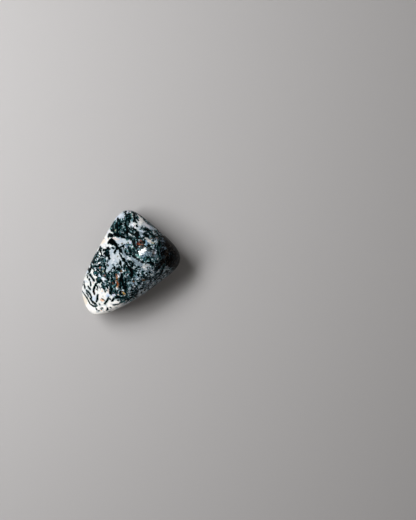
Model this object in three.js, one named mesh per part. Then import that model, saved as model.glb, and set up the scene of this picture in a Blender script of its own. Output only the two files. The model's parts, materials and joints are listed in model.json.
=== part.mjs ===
// A tumbled tree agate: one polished pebble, rounded from a three-cornered chip.
// Units are millimetres, +Z is up, and the origin is the middle of the underside.
import * as THREE from "three";
import { mergeVertices } from "three/addons/utils/BufferGeometryUtils.js";

// The finished stone's length along X, Y and Z.
const finished = new THREE.Vector3(31.8, 33.7, 17.2);

// Where the flats of the worn chip are measured from: a point inside the stone, at this
// height above the underside.
const heartHeight = 8.6;

// The chip's flats. Azimuth is measured from +X towards +Y, and tilt from straight up,
// both in degrees. Reach is the distance from the heart to the flat.
const flats = [
  { azimuth: 150, tilt: 84, reach: 12.2 }, // long left side
  { azimuth: 50, tilt: 86, reach: 14.0 }, // upper right side
  { azimuth: 309, tilt: 80, reach: 11.2 }, // lower right side, in two
  { azimuth: 290, tilt: 82, reach: 13.4 },
  { azimuth: 190, tilt: 84, reach: 20.2 }, // blunt lower left end, in two
  { azimuth: 236, tilt: 84, reach: 24.4 },
  { azimuth: 100, tilt: 88, reach: 18.4 }, // top corner
  { azimuth: 5, tilt: 86, reach: 17.3 }, // right corner
  { azimuth: 125, tilt: 27, reach: 8.8 }, // broad upper face, in two
  { azimuth: 170, tilt: 31, reach: 6.6 },
  { azimuth: 330, tilt: 6, reach: 12.2 }, // level stretch at the summit
  { azimuth: 345, tilt: 35, reach: 13.4 }, // shoulder above the right corner
  { azimuth: 50, tilt: 45, reach: 13.4 }, // bevel above the upper right side
  { azimuth: 310, tilt: 44, reach: 11.2 }, // bevel above the lower right side
  { azimuth: 225, tilt: 40, reach: 17.2 }, // slope down to the blunt end
  { azimuth: 0, tilt: 180, reach: 8.9 }, // underside
  { azimuth: 150, tilt: 135, reach: 12.4 }, // bevel below the left side
  { azimuth: 45, tilt: 132, reach: 13.4 }, // bevel below the upper right side
  { azimuth: 300, tilt: 130, reach: 11.4 }, // bevel below the lower right side
  { azimuth: 220, tilt: 128, reach: 19.4 }, // bevel below the blunt end
];

// How sharp the worn edges stay, per millimetre: a smaller number rounds them more.
const edgeSharpness = 0.62;

// Broad shallow hollows, which tumbling leaves because they never touch another stone.
// Each has a direction, the angle that it spreads over and its depth.
const hollows = [
  { azimuth: 120, tilt: 122, spread: 20, depth: 0.4 },
  { azimuth: 20, tilt: 128, spread: 15, depth: 0.35 },
];

// Rows of triangles along each edge of the icosahedron that becomes the stone.
const detail = 19;

// Halvings of the stretch that holds the surface, when it is searched for.
const halvings = 40;

function direction(azimuth, tilt) {
  const a = THREE.MathUtils.degToRad(azimuth);
  const t = THREE.MathUtils.degToRad(tilt);
  return new THREE.Vector3(
    Math.sin(t) * Math.cos(a),
    Math.sin(t) * Math.sin(a),
    Math.cos(t),
  );
}

const worn = flats.map(({ azimuth, tilt, reach }) => ({
  normal: direction(azimuth, tilt),
  reach,
}));

const scooped = hollows.map(({ azimuth, tilt, spread, depth }) => ({
  middle: direction(azimuth, tilt),
  spread: THREE.MathUtils.degToRad(spread),
  depth,
}));

// The stone's surface is where this sum is 1. Near the middle of a flat only that flat
// counts, and near an edge its neighbours take part, which rounds the edge off.
function wear(way, distance) {
  return worn.reduce(
    (sum, { normal, reach }) =>
      sum + Math.exp(edgeSharpness * (way.dot(normal) * distance - reach)),
    0,
  );
}

// Distance from the heart to the surface along a direction.
function surfaceDistance(way) {
  let inside = 0;
  let outside = finished.length();
  for (let i = 0; i < halvings; i++) {
    const middle = (inside + outside) / 2;
    if (wear(way, middle) < 1) inside = middle;
    else outside = middle;
  }
  const scoop = scooped.reduce(
    (sum, { middle, spread, depth }) =>
      sum + depth * Math.exp(-((way.angleTo(middle) / spread) ** 2)),
    0,
  );
  return inside - scoop;
}

// Brings the pebble to its finished size, with the middle of its underside at the origin.
function finish(pebble) {
  pebble.computeBoundingBox();
  const { min, max } = pebble.boundingBox;
  pebble.translate(-(min.x + max.x) / 2, -(min.y + max.y) / 2, -min.z);
  pebble.scale(
    finished.x / (max.x - min.x),
    finished.y / (max.y - min.y),
    finished.z / (max.z - min.z),
  );
}

function pebbleGeometry() {
  const sphere = new THREE.IcosahedronGeometry(1, detail);
  sphere.deleteAttribute("normal");
  sphere.deleteAttribute("uv");
  const pebble = mergeVertices(sphere);
  const points = pebble.getAttribute("position");
  const way = new THREE.Vector3();
  for (let i = 0; i < points.count; i++) {
    // Stretching the sphere first keeps the triangles alike in size.
    way.fromBufferAttribute(points, i).multiply(finished).normalize();
    const { x, y, z } = way.clone().multiplyScalar(surfaceDistance(way));
    // The underside is ground flat where the stone rests.
    points.setXYZ(i, x, y, Math.max(z, -heartHeight));
  }
  finish(pebble);
  pebble.computeVertexNormals();
  return pebble;
}

const stone = new THREE.Mesh(
  pebbleGeometry(),
  new THREE.MeshStandardMaterial({
    color: "#8f9a97",
    roughness: 0.12,
    metalness: 0,
  }),
);
stone.name = "stone";

const group = new THREE.Group();
group.add(stone);

export default group;
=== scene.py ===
import json
import math
import random
from itertools import product

import bpy
import numpy as np
from mathutils import Matrix, Vector, noise
from mathutils.bvhtree import BVHTree

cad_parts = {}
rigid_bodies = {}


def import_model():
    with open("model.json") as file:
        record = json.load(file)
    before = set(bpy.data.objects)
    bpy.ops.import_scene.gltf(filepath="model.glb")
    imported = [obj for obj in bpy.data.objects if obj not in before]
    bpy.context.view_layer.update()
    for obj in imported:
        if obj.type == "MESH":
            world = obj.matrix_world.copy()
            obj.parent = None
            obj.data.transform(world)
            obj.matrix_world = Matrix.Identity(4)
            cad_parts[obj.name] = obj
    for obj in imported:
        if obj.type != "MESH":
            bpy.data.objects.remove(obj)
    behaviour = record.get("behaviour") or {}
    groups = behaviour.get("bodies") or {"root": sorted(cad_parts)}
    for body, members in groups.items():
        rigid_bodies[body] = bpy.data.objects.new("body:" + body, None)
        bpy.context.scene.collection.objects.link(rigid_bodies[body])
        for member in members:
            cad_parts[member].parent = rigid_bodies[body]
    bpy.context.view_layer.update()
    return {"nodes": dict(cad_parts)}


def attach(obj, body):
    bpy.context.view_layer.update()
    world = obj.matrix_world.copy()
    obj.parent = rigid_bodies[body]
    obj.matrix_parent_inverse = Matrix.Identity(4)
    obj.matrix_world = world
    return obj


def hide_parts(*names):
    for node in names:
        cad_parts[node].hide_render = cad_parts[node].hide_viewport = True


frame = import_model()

mm = 0.001


# camera, at the photograph's viewing angle

cameraSettings = {
    "focalPixels": 1000,        # the photograph's focal length, in its own pixels
    "imageHeight": 520,
    "sensor": 36.0,             # mm, along the image's longer side
    "distance": 328 * mm,
    "target": (24.97 * mm, 0.07 * mm, 0.0),   # what the middle of the picture shows
    "tiltX": -6.0,              # degrees
    "tiltY": -1.7,
}


def addCamera(settings):
    data = bpy.data.cameras.new("camera")
    data.sensor_width = settings["sensor"]
    data.lens = settings["focalPixels"] / settings["imageHeight"] * settings["sensor"]
    data.clip_start = 1 * mm
    camera = bpy.data.objects.new("camera", data)
    turn = Matrix.Rotation(math.radians(settings["tiltY"]), 3, "Y")
    turn = turn @ Matrix.Rotation(math.radians(settings["tiltX"]), 3, "X")
    camera.rotation_euler = turn.to_euler()
    camera.location = Vector(settings["target"]) + turn @ Vector((0, 0, settings["distance"]))
    bpy.context.scene.collection.objects.link(camera)
    bpy.context.scene.camera = camera
    print("camera placed")


# studio: a plain pale floor, a small bright window, soft light from the same side, a faint fill
# from the near side, and a dim world

studio = {
    "floorSize": 1.6,
    "floorColour": "#b7b5b5",
    "floorRoughness": 0.85,
    "worldColour": "#e7e1da",
    "worldStrength": 0.115,
    # azimuth from +X towards +Y, elevation from the floor and turn are degrees; sizes are metres
    # and power is watts
    "lights": {
        "window": {"azimuth": 138, "elevation": 54.5, "distance": 0.6, "length": 0.235,
                   "width": 0.047, "turn": -25, "power": 9.0, "mirrored": True},
        "soft_key": {"azimuth": 156, "elevation": 51.5, "distance": 0.31, "length": 0.28,
                     "width": 0.1, "turn": 0, "power": 1.15, "mirrored": False},
        "fill": {"azimuth": 262, "elevation": 35, "distance": 0.4, "length": 0.2,
                 "width": 0.2, "turn": 0, "power": 0.1, "mirrored": False},
    },
}


def srgb(hexCode):
    # an sRGB hex value as linear RGBA
    parts = [int(hexCode[i:i + 2], 16) / 255 for i in (1, 3, 5)]
    return [c / 12.92 if c <= 0.04045 else ((c + 0.055) / 1.055) ** 2.4 for c in parts] + [1.0]


def addNode(tree, kind, settings=None, links=None):
    # adds a node, sets its inputs or properties by name, and links its inputs by name
    node = tree.nodes.new(kind)
    for name, value in (settings or {}).items():
        if isinstance(name, int) or name in node.inputs:
            node.inputs[name].default_value = value
        else:
            setattr(node, name, value)
    for name, socket in (links or {}).items():
        tree.links.new(socket, node.inputs[name])
    return node


def addAreaLight(name, settings):
    # a rectangular light that looks at the stone
    data = bpy.data.lights.new(name, "AREA")
    data.shape = "RECTANGLE"
    data.size = settings["length"]
    data.size_y = settings["width"]
    data.energy = settings["power"]
    lamp = bpy.data.objects.new(name, data)
    azimuth = math.radians(settings["azimuth"])
    elevation = math.radians(settings["elevation"])
    towards = Vector((math.cos(elevation) * math.cos(azimuth),
                      math.cos(elevation) * math.sin(azimuth),
                      math.sin(elevation)))
    lamp.location = towards * settings["distance"]
    facing = (-towards).to_track_quat("-Z", "Y").to_matrix()
    facing = facing @ Matrix.Rotation(math.radians(settings["turn"]), 3, "Z")
    lamp.rotation_euler = facing.to_euler()
    # the window is only seen mirrored in the polish, and the other lights only light the scene
    lamp.visible_glossy = settings["mirrored"]
    lamp.visible_diffuse = not settings["mirrored"]
    bpy.context.scene.collection.objects.link(lamp)


def addStudio(settings):
    bpy.ops.mesh.primitive_plane_add(size=settings["floorSize"], location=(0, 0, 0))
    floor = bpy.context.active_object
    floor.name = "studio_floor"
    paint = bpy.data.materials.new("matt_pale_floor")
    paint.use_nodes = True
    shader = paint.node_tree.nodes["Principled BSDF"]
    shader.inputs["Base Color"].default_value = srgb(settings["floorColour"])
    shader.inputs["Roughness"].default_value = settings["floorRoughness"]
    floor.data.materials.append(paint)

    world = bpy.data.worlds.new("studio_world")
    world.use_nodes = True
    sky = world.node_tree.nodes["Background"]
    sky.inputs["Color"].default_value = srgb(settings["worldColour"])
    sky.inputs["Strength"].default_value = settings["worldStrength"]
    bpy.context.scene.world = world

    for name, light in settings["lights"].items():
        addAreaLight(name, light)
    bpy.context.scene.view_settings.view_transform = "Standard"
    print("studio lit")


# the stone's body: the tumbled chip, with its skin made smooth

stoneShape = {
    "mergeDistance": 0.001 * mm,
    "smoothing": 2,             # subdivision levels: edges of about 0.15 mm
    "polish": 8,                # rounds of smoothing, which take out the last unevenness
}


def shapeStone(settings):
    bpy.ops.object.select_all(action="DESELECT")
    chip = frame["nodes"]["stone"]
    chip.select_set(True)
    bpy.context.view_layer.objects.active = chip
    bpy.ops.object.duplicate()
    stone = bpy.context.active_object
    stone.name = "polished_stone"
    bpy.ops.object.parent_clear(type="CLEAR_KEEP_TRANSFORM")
    for name in [key for key in stone.keys() if key.startswith("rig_")]:
        del stone[name]
    stone.data.materials.clear()
    bpy.ops.object.mode_set(mode="EDIT")
    bpy.ops.mesh.select_all(action="SELECT")
    bpy.ops.mesh.remove_doubles(threshold=settings["mergeDistance"])
    bpy.ops.mesh.normals_make_consistent(inside=False)
    bpy.ops.object.mode_set(mode="OBJECT")
    skin = stone.modifiers.new("skin", "SUBSURF")
    skin.levels = settings["smoothing"]
    skin.render_levels = settings["smoothing"]
    bpy.ops.object.modifier_apply(modifier="skin")
    polish = stone.modifiers.new("polish", "SMOOTH")
    polish.iterations = settings["polish"]
    bpy.ops.object.modifier_apply(modifier="polish")
    bpy.ops.object.shade_smooth()
    print("stone shaped:", len(stone.data.polygons), "faces")
    return stone


# growths: every marking is a run of round beads that lie on the stone's skin

growthSettings = {
    "seed": 11,
    "bead": 0.12,               # mm between beads
    "reach": 0.8,               # mm from a growth that its field is worked out for
    "cell": 2.0,                # mm, the cubes that the skin's points are sorted into
    "swell": 1.04,              # strokes are drawn this much wider than they are written
    "ends": 0.6,                # how wide a stroke's ends are, as a share of its middle
    "curl": 16,                 # degrees that a seeded growth may turn at each bead
    "taper": 0.4,               # share of its width that a seeded growth loses on its way
    "outside": 50,              # mm from the middle, where rays towards the skin start
    "waist": 8.5,               # mm, the height at which the stone is widest
}


class Skin:
    # the stone's surface, to lay growths on and to measure from; its units are mm

    def __init__(self, stone, settings):
        mesh = stone.data
        self.settings = settings
        self.points = np.empty(len(mesh.vertices) * 3, np.float32)
        mesh.vertices.foreach_get("co", self.points)
        self.points = self.points.reshape(-1, 3) / mm
        faces = [tuple(face.vertices) for face in mesh.polygons]
        self.tree = BVHTree.FromPolygons([Vector(p) for p in self.points], faces)
        self.cells = {}
        for index, cube in enumerate(self.cube(self.points).tolist()):
            self.cells.setdefault(tuple(cube), []).append(index)

    def cube(self, points):
        # the cubes that points lie in, as whole numbers of cubes along X, Y and Z
        return np.floor(np.asarray(points) / self.settings["cell"]).astype(int)

    def at(self, side, a, b):
        # the skin above or under a point of the plan, or round the sides at an azimuth and a height;
        # past the outline, the nearest place at the waist
        if side == "round":
            way = -Vector((math.cos(math.radians(a)), math.sin(math.radians(a)), 0))
            start = Vector((0, 0, b)) - way * self.settings["outside"]
        else:
            way = Vector((0, 0, 1 if side == "under" else -1))
            start = Vector((a, b, 0)) - way * self.settings["outside"]
        place = self.tree.ray_cast(start, way)[0]
        return place or self.tree.find_nearest(Vector((a, b, self.settings["waist"])))[0]

    def close(self, low, high):
        # the points in the cubes between two corners
        spans = [range(a, b + 1) for a, b in zip(self.cube(low), self.cube(high))]
        found = []
        for place in product(*spans):
            found.extend(self.cells.get(place, ()))
        return np.array(found, int)

    def paint(self, growths, reach):
        # for every point, how far it is from the nearest growth's edge, less than 0 inside it, and
        # that growth's colour
        gap = np.full(len(self.points), reach, np.float32)
        tint = np.ones((len(self.points), 4), np.float32)
        for colour, beads in growths:
            place = np.array([bead[0][:] for bead in beads], np.float32)
            radius = np.array([bead[1] for bead in beads], np.float32)
            margin = reach + radius.max()
            index = self.close(place.min(0) - margin, place.max(0) + margin)
            if not len(index):
                continue
            away = (np.linalg.norm(self.points[index, None] - place[None], axis=2) - radius).min(1)
            nearer = away < gap[index]
            gap[index[nearer]] = away[nearer]
            tint[index[nearer]] = srgb(palette[colour])
        return gap, tint

    def walk(self, start, heading, length, width, chance):
        # beads of a growth that creeps over the skin from a place, turning at random
        settings = self.settings
        place, normal = self.tree.find_nearest(start)[:2]
        steps = max(2, round(length / settings["bead"]))
        bend = chance.uniform(-settings["curl"], settings["curl"])
        beads = []
        for i in range(steps):
            beads.append((place, width / 2 * (1 - settings["taper"] * i / steps)))
            heading = (heading - normal * heading.dot(normal)).normalized()
            turn = math.radians(bend + chance.gauss(0, settings["curl"] / 2))
            heading = Matrix.Rotation(turn, 3, normal) @ heading
            place, normal = self.tree.find_nearest(place + heading * settings["bead"])[:2]
        return beads

    def lay(self, width, path):
        # beads along a path of plan points: full width in the middle, thinner at the ends
        settings = self.settings
        if len(path) == 1:
            return [(self.at("upper", *path[0]), width / 2 * settings["swell"])]
        beads = []
        corners = [Vector(point) for point in path]
        lengths = [(b - a).length for a, b in zip(corners, corners[1:])]
        travelled = 0
        for a, b, length in zip(corners, corners[1:], lengths):
            steps = max(1, round(length / settings["bead"]))
            for i in range(steps):
                share = (travelled + length * (i + 0.5) / steps) / sum(lengths)
                full = settings["ends"] + (1 - settings["ends"]) * math.sin(math.pi * share) ** 0.5
                place = self.at("upper", *a.lerp(b, i / steps))
                beads.append((place, width / 2 * full * settings["swell"]))
            travelled += length
        return beads


# the colours of the markings, as they look in plain light

palette = {
    "black": "#020506",
    "inkTeal": "#051316",
    "teal": "#163e40",
    "deepTeal": "#0f5058",
    "jade": "#3a7568",
    "petrol": "#46727a",
    "sea": "#5f908c",
    "paleSea": "#84aeb0",
    "cyan": "#62b2bc",
    "blue": "#7390aa",
    "skyBlue": "#a9bfdb",
    "iceBlue": "#b9c8d8",
    "lavender": "#c0c3d6",
    "pearl": "#e2e3ea",
    "milk": "#dadcdc",
    "snow": "#f2f1ee",
    "ash": "#a6a8a8",
    "dove": "#74828c",
    "mist": "#9aabb1",
    "steel": "#6b7f90",
    "pewter": "#6c747a",
    "slate": "#51606c",
    "graphite": "#2c3235",
    "softGrey": "#bcc0c4",
    "olive": "#a6a286",
    "darkOlive": "#5d5b42",
    "blush": "#cbbfba",
    "peach": "#dfb08a",
    "tan": "#b08f68",
    "ochre": "#ac862f",
    "amber": "#9b612e",
    "orange": "#98502a",
    "sienna": "#8a5a35",
    "terracotta": "#8c4a3a",
    "maroon": "#6a3a35",
    "redBrown": "#5f3315",
    "rust": "#7f4119",
    "oxblood": "#521308",
    "umber": "#5f4428",
    "taupe": "#5d5450",
    "darkUmber": "#2a1a10",
}

# markings on the upper side, in mm from the origin, as seen from straight above.
# each is (width, [points]), and one with a single point is a spot

blackMoss = {
    "topCorner": [
        (0.6, [(0.1, 14.9), (0.2, 14.2)]), (0.4, [(-1.6, 13.6), (-1.9, 13.1)]),
        (0.6, [(-1.7, 16.8), (-1.6, 16.1)]), (0.5, [(-0.6, 13.9), (-0.1, 13.6), (0.1, 13.3)]),
        (0.45, [(1.2, 13.9), (1.5, 13.4)]), (0.55, [(-1.6, 16.9), (-1.6, 16.2), (-1.4, 15.5), (-1, 15)]),
        (0.6, [(-1, 15), (-1, 14.2), (-1.2, 13.4), (-1.1, 12.6), (-0.8, 11.9), (-0.7, 11.2)]),
        (0.6, [(-0.9, 15.6), (-0.6, 14.9), (-0.5, 14.2)]), (0.5, [(0, 15.2), (0.1, 14.5)]),
        (0.5, [(1.5, 16.5), (1.45, 15.8), (1.5, 15), (1.55, 14.3), (1.9, 13.6), (2.1, 13.2)]),
        (0.5, [(1.2, 15.4), (1.9, 15.1)]), (0.5, [(2.1, 14.9), (2.3, 14.4), (2.7, 13.9), (2.9, 13.8)]),
        (0.45, [(2.2, 12.5), (2.4, 12.1)]),
    ],
    "mossMass": [
        (0.7, [(-4, 14.4), (-3.7, 13.9), (-3.9, 13.3)]), (0.45, [(-3.4, 13.8), (-3.1, 13.4)]),
        (0.5, [(-3.3, 13.4), (-2.9, 13.1)]), (0.9, [(-3, 12.9), (-2.5, 12.8), (-2.2, 12.6)]),
        (0.8, [(-5.2, 13), (-5.4, 12.5)]), (0.8, [(-4.2, 13.1), (-4.4, 12.4), (-4.5, 11.6)]),
        (0.7, [(-3.9, 12.6), (-3.9, 11.6), (-3.8, 10.6), (-3.9, 9.9)]),
        (0.6, [(-3.3, 12.2), (-3.2, 11.4)]), (0.6, [(-3.3, 11.2), (-2.9, 10.7), (-2.6, 10.5)]),
        (0.9, [(-5.4, 11), (-5.2, 10.4)]), (1.1, [(-6.7, 9.3), (-6.1, 9.1), (-5.4, 8.9)]),
        (0.5, [(-6.9, 9.1), (-6.9, 8.4)]), (0.35, [(-6.85, 8.8), (-6.8, 8.3)]),
        (0.9, [(-5, 9.6), (-4.2, 9.5), (-3.4, 9.4)]), (0.6, [(-4.6, 9.1), (-3.6, 9), (-2.8, 9.1)]),
        (0.6, [(-2.6, 9.8), (-1.7, 9.4)]), (0.7, [(-2.7, 9), (-2, 8.8), (-1.4, 8.4)]),
        (0.8, [(-1.9, 11), (-1.4, 10.4), (-0.9, 9.9), (-0.4, 9.5)]),
        (0.8, [(-0.8, 11.4), (-0.4, 10.9), (-0.3, 10.4)]), (0.5, [(-0.5, 11.9), (-0.2, 11.4)]),
        (0.3, [(0.6, 11.8), (0.7, 11.5)]),
        (0.55, [(1.1, 11.5), (1.5, 11.1), (2, 10.7), (2.5, 10.2), (2.8, 9.6)]),
        (0.4, [(1.1, 10.8), (1.2, 10.2)]), (0.5, [(0, 10.4), (0.4, 10.1), (0.9, 9.9)]),
        (0.7, [(0.9, 9.9), (1.5, 9.5), (2, 9.1)]), (0.9, [(2.5, 9.8), (2.5, 9), (2.4, 8.3)]),
        (0.6, [(0.1, 8.6), (0.6, 8.4), (1.2, 8.5)]),
        (0.9, [(1.4, 8.4), (1.5, 7.5), (1.5, 6.8), (1.8, 6.2)]), (0.6, [(1.8, 6.2), (2, 6), (2.7, 5.8)]),
        (0.5, [(2.8, 8.3), (3.6, 8.6), (4.2, 8.2)]), (0.5, [(-0.2, 8.2), (0.6, 8.1), (1.3, 7.8)]),
        (0.45, [(4.3, 8.9), (4.5, 8.3)]), (0.4, [(4.2, 7.9), (4.2, 7.3)]),
        (0.5, [(-0.9, 8.6), (-0.2, 8.5), (0.2, 8)]), (0.4, [(0.9, 7.8), (0.9, 7)]),
        (0.7, [(2.6, 7.5), (2.6, 6.8), (3, 6.3)]), (0.5, [(4.4, 7.6), (4.6, 7)]),
        (1, [(3.4, 7.3), (4, 7.2)]), (0.6, [(3.9, 6.3), (4.6, 6.4)]), (0.4, [(2.1, 5.5), (2.2, 5.1)]),
        (0.45, [(2.3, 5.2), (2.5, 4.6)]), (0.5, [(-5.6, 12.2), (-5.2, 11.5)]),
        (0.5, [(-2.9, 12.3), (-2.5, 11.7), (-2.7, 11)]), (0.6, [(-1.6, 12.9), (-1.3, 12.2)]),
        (0.6, [(-6, 10.9), (-5.7, 10.3)]), (0.6, [(1.9, 9.9), (2.2, 9.4)]),
    ],
    "featherStem": [
        (0.8, [(-6.9, 6.7), (-6.5, 7.2), (-6.2, 7.7)]), (0.9, [(-6.6, 6.9), (-6, 6.8), (-5.3, 6.7)]),
        (0.7, [(-5.9, 7.9), (-5.2, 7.4), (-4.6, 6.8)]), (0.5, [(-3.6, 5.9), (-3, 5.2), (-2.6, 4.6)]),
        (0.6, [(-3.1, 3.6), (-2.6, 2.8), (-2, 2), (-1.2, 1), (-0.6, 0.2)]),
        (0.5, [(-4.1, 5.3), (-4.4, 4.6), (-4.6, 4), (-4.8, 3.4)]),
        (1.1, [(-6, 7.5), (-5.6, 7.3), (-5.1, 7.1)]), (0.7, [(-6.6, 6.7), (-6.3, 7.3), (-5.9, 7.8)]),
        (0.8, [(-5.6, 6.6), (-5.2, 6.3)]),
        (1, [(-5.4, 7.3), (-4.9, 6.8), (-4.4, 6.3), (-3.9, 5.6), (-3.4, 5)]),
        (0.6, [(-3.4, 5), (-2.9, 4.5), (-2.7, 4.2)]), (0.3, [(-2.5, 4.1), (-2.2, 3.7)]),
        (0.4, [(-2.8, 5.6), (-2.3, 6), (-1.8, 6.2)]), (0.35, [(-8.2, 2.3), (-7.8, 1.9)]),
        (0.4, [(-5.4, 5.3), (-5, 5.1)]),
        (0.5, [(-2.8, 3), (-2.2, 2.2), (-1.5, 1.3), (-0.9, 0.5), (-0.3, -0.3)]),
        (0.5, [(-0.4, 1.7), (0.2, 1.4), (0.8, 1), (1.3, 0.6)]), (0.45, [(1, 0.3), (0.9, -0.4)]),
        (0.6, [(0.2, 3.5), (0.8, 3.3), (1.3, 3), (1.9, 2.6), (2.3, 2.25), (3, 1.85), (3.8, 1.5)]),
        (0.55, [(3.8, 1.5), (4.2, 1.3), (4.8, 1.1), (5.5, 1.15), (6.2, 1), (6.9, 0.9)]),
        (0.7, [(7.1, 1), (7.4, 0.4)]), (0.45, [(-1.3, 5), (-1.2, 4.4), (-1.1, 3.9), (-0.8, 3.5)]),
        (0.7, [(0.3, 4.8), (0.6, 4.2)]), (0.5, [(1.2, 5.2), (1.7, 4.5), (2.2, 3.9)]),
        (0.5, [(1.4, 5.1), (1.8, 4.5)]),
    ],
    "leftRim": [
        (0.7, [(-10.7, 5.8), (-10.9, 5.1), (-11.1, 4.5)]),
        (0.7, [(-11.5, 4.1), (-11.7, 3.5), (-11.9, 2.9)]),
        (0.7, [(-11.9, 2.4), (-12.2, 1.7), (-12.4, 1.1)]), (0.5, [(-12.6, 0.3), (-12.9, -0.3)]),
        (0.6, [(-12.1, 0.6), (-11.7, 0.2), (-11.6, -0.3)]), (0.35, [(-8.7, 2.7), (-8.4, 2.2)]),
        (1.1, [(-14, -1.3), (-14.2, -1.9), (-14.2, -2.5)]),
        (0.8, [(-9.9, 4.7), (-9.6, 4.2), (-9.3, 3.7)]), (0.5, [(-8.3, 0.3), (-7.9, -0.5)]),
        (0.5, [(-12.4, 0.7), (-12.1, 0)]), (0.4, [(-9.4, -4.8), (-9.2, -5.6)]),
        (0.5, [(-7.6, -6.8), (-6.9, -7.4)]), (0.4, [(-15.5, -6.7), (-15.4, -7.5)]),
        (0.75, [(-9.8, 4.9), (-9.5, 4.5)]), (0.35, [(-9.2, 4.9), (-8.8, 4.8)]),
        (0.35, [(-10, 5.6), (-10, 5.1)]), (0.5, [(-8.5, 4.3), (-8, 4.5), (-7.5, 4.6), (-7.1, 4.9)]),
        (0.7, [(-7.3, 5), (-6.8, 5), (-6.5, 4.7)]), (0.9, [(-8.1, 3.4), (-7.6, 3.3), (-7.2, 3.5)]),
        (0.75, [(-6.8, 4), (-6.7, 3.2), (-6.7, 2.4), (-6.6, 1.7), (-6.5, 1.5)]),
        (0.6, [(-7.4, 3.1), (-7.1, 2.4)]), (0.4, [(-9.2, 3.5), (-9.1, 2.8)]),
        (0.4, [(-8.9, 2.7), (-9, 2.3)]), (0.3, [(-10.7, 3), (-10.1, 2.9)]),
        (0.5, [(-10.8, 2.5), (-10.9, 1.8)]), (0.4, [(-10.9, 4), (-10.8, 3.7)]),
        (0.45, [(-11.9, 1.5), (-11.6, 1.2)]), (0.5, [(-9, 1.6), (-8.5, 1.9), (-8.4, 2)]),
        (0.4, [(-10, 1.9), (-9.8, 1.3), (-10, 0.8), (-10.3, 0.9)]), (0.4, [(-8.8, 0.6), (-8.3, 1)]),
        (0.35, [(-7.2, 1.1), (-7.2, 0.4)]), (0.5, [(-7.4, -0.1), (-7, -0.2), (-6.8, -0.4)]),
        (0.45, [(-11, 0.6), (-10.9, -0.1)]), (0.5, [(-12.9, -0.5), (-12.5, -0.7)]),
        (0.8, [(-12.7, -1.2), (-12.3, -1.4)]), (0.5, [(-11.8, -0.8), (-11, -0.8), (-10.2, -0.9)]),
        (0.35, [(-9.1, 0.1), (-9.2, -0.7)]), (0.6, [(-8, -0.6), (-7.7, -0.9)]),
        (0.4, [(-8.4, -0.8), (-8.4, -1.3)]), (0.4, [(-7.9, -1.3), (-7.5, -1.6)]),
        (0.5, [(-8, -1.7), (-7.9, -2.4), (-7.8, -3)]), (0.4, [(-10.8, -1.5), (-10.2, -2), (-9.8, -2.4)]),
        (0.6, [(-9.9, -2.2), (-9.5, -2.6)]), (0.4, [(-9.2, -2.9), (-9.1, -3.3)]),
        (0.35, [(-8.4, -3.1), (-8, -3.2)]), (0.8, [(-13.7, -1.2), (-13.6, -2), (-13.4, -2.5)]),
        (0.35, [(-13.5, -3.2), (-13.4, -3.6)]), (0.35, [(-12.7, -3.5), (-12.5, -3.9)]),
        (0.65, [(-13, -3.7), (-12.4, -4.3), (-11.9, -4.8), (-11.5, -5.1)]),
        (0.35, [(-12.3, -4.6), (-12, -5)]), (0.45, [(-11.8, -5.4), (-11.3, -5.5)]),
        (0.55, [(-13.3, -5), (-13, -5.4)]), (0.5, [(-14.95, -3.9), (-14.8, -4.6)]),
        (0.4, [(-10.1, -5.6), (-9.9, -6)]), (0.5, [(-10.8, -4.9), (-10.3, -5.5), (-9.6, -5.9)]),
        (0.4, [(-9.3, -5.1), (-8.8, -5.7), (-8.2, -6.1)]), (0.4, [(-9.1, -6.4), (-8.9, -6.9)]),
        (0.4, [(-8.6, -7), (-8.1, -7)]),
    ],
    "middle": [
        (0.4, [(-3.8, 0.4), (-3.4, -0.2), (-3.2, -0.8)]), (0.55, [(-3, 0.5), (-2.7, -0.1), (-2.4, -0.6)]),
        (0.4, [(-5.3, -1), (-4.8, -1.6)]), (0.5, [(-0.4, 1.4), (0, 0.8), (0.3, 0.3)]),
        (0.4, [(-1.9, -6.2), (-2.2, -7)]), (0.8, [(-3.1, -3.8), (-3, -4.6), (-3, -5.8), (-2.9, -7.2)]),
        (0.45, [(-4.9, -2.8), (-4.7, -4.2)]), (0.45, [(-5, -5.2), (-4.8, -5.9)]),
        (0.5, [(-5.2, -6.9), (-4.6, -6.8)]), (0.5, [(-2.9, 1.2), (-2.8, 0.6), (-2.8, 0.1)]),
        (0.4, [(-1.5, 0.1), (-1, 0.2)]), (0.45, [(-1.6, -0.3), (-1.4, -0.7)]),
        (0.35, [(-3.9, 0.2), (-3.5, 0.1)]), (0.35, [(-3.3, -0.3), (-3.2, -0.7)]),
        (1.1, [(-4, -1.2), (-3.4, -1.3), (-3, -1.5)]), (0.4, [(-5.2, -0.2), (-4.8, -0.8), (-4.5, -1.3)]),
        (0.4, [(-4.9, -1.6), (-4.4, -1.8)]), (0.5, [(-4.3, -2.1), (-4, -2.3)]),
        (0.35, [(-5.8, -2), (-5.9, -1.6), (-5.5, -1.2), (-5.1, -1.1)]),
        (0.5, [(-5.6, -2.5), (-5.1, -2.6)]), (0.4, [(-5, -2), (-4.2, -2.5)]),
        (0.45, [(-6.6, -2.4), (-6.5, -3.2)]), (0.6, [(-7.7, -1.4), (-7.9, -2.2), (-7.6, -3)]),
        (0.6, [(-7.2, -4.2), (-6.7, -4.8)]), (0.55, [(-6, -3.3), (-5.8, -3.9), (-5.4, -4.5), (-5, -4.9)]),
        (0.35, [(-4.8, -3.5), (-4.6, -3.9)]),
        (1.1, [(-0.3, -0.5), (0.2, -1.2), (0.8, -1.8), (1.4, -2.2)]),
        (0.5, [(1.4, -1.4), (1.9, -1.6), (2.3, -1.7)]), (0.9, [(0.3, -3.2), (0.8, -3), (1.1, -2.7)]),
        (0.6, [(-1.8, -2.2), (-1.6, -2.7)]),
        (1.2, [(-2.2, -3), (-2.4, -4.4), (-2.1, -5.8), (-1.7, -7.2)]),
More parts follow.
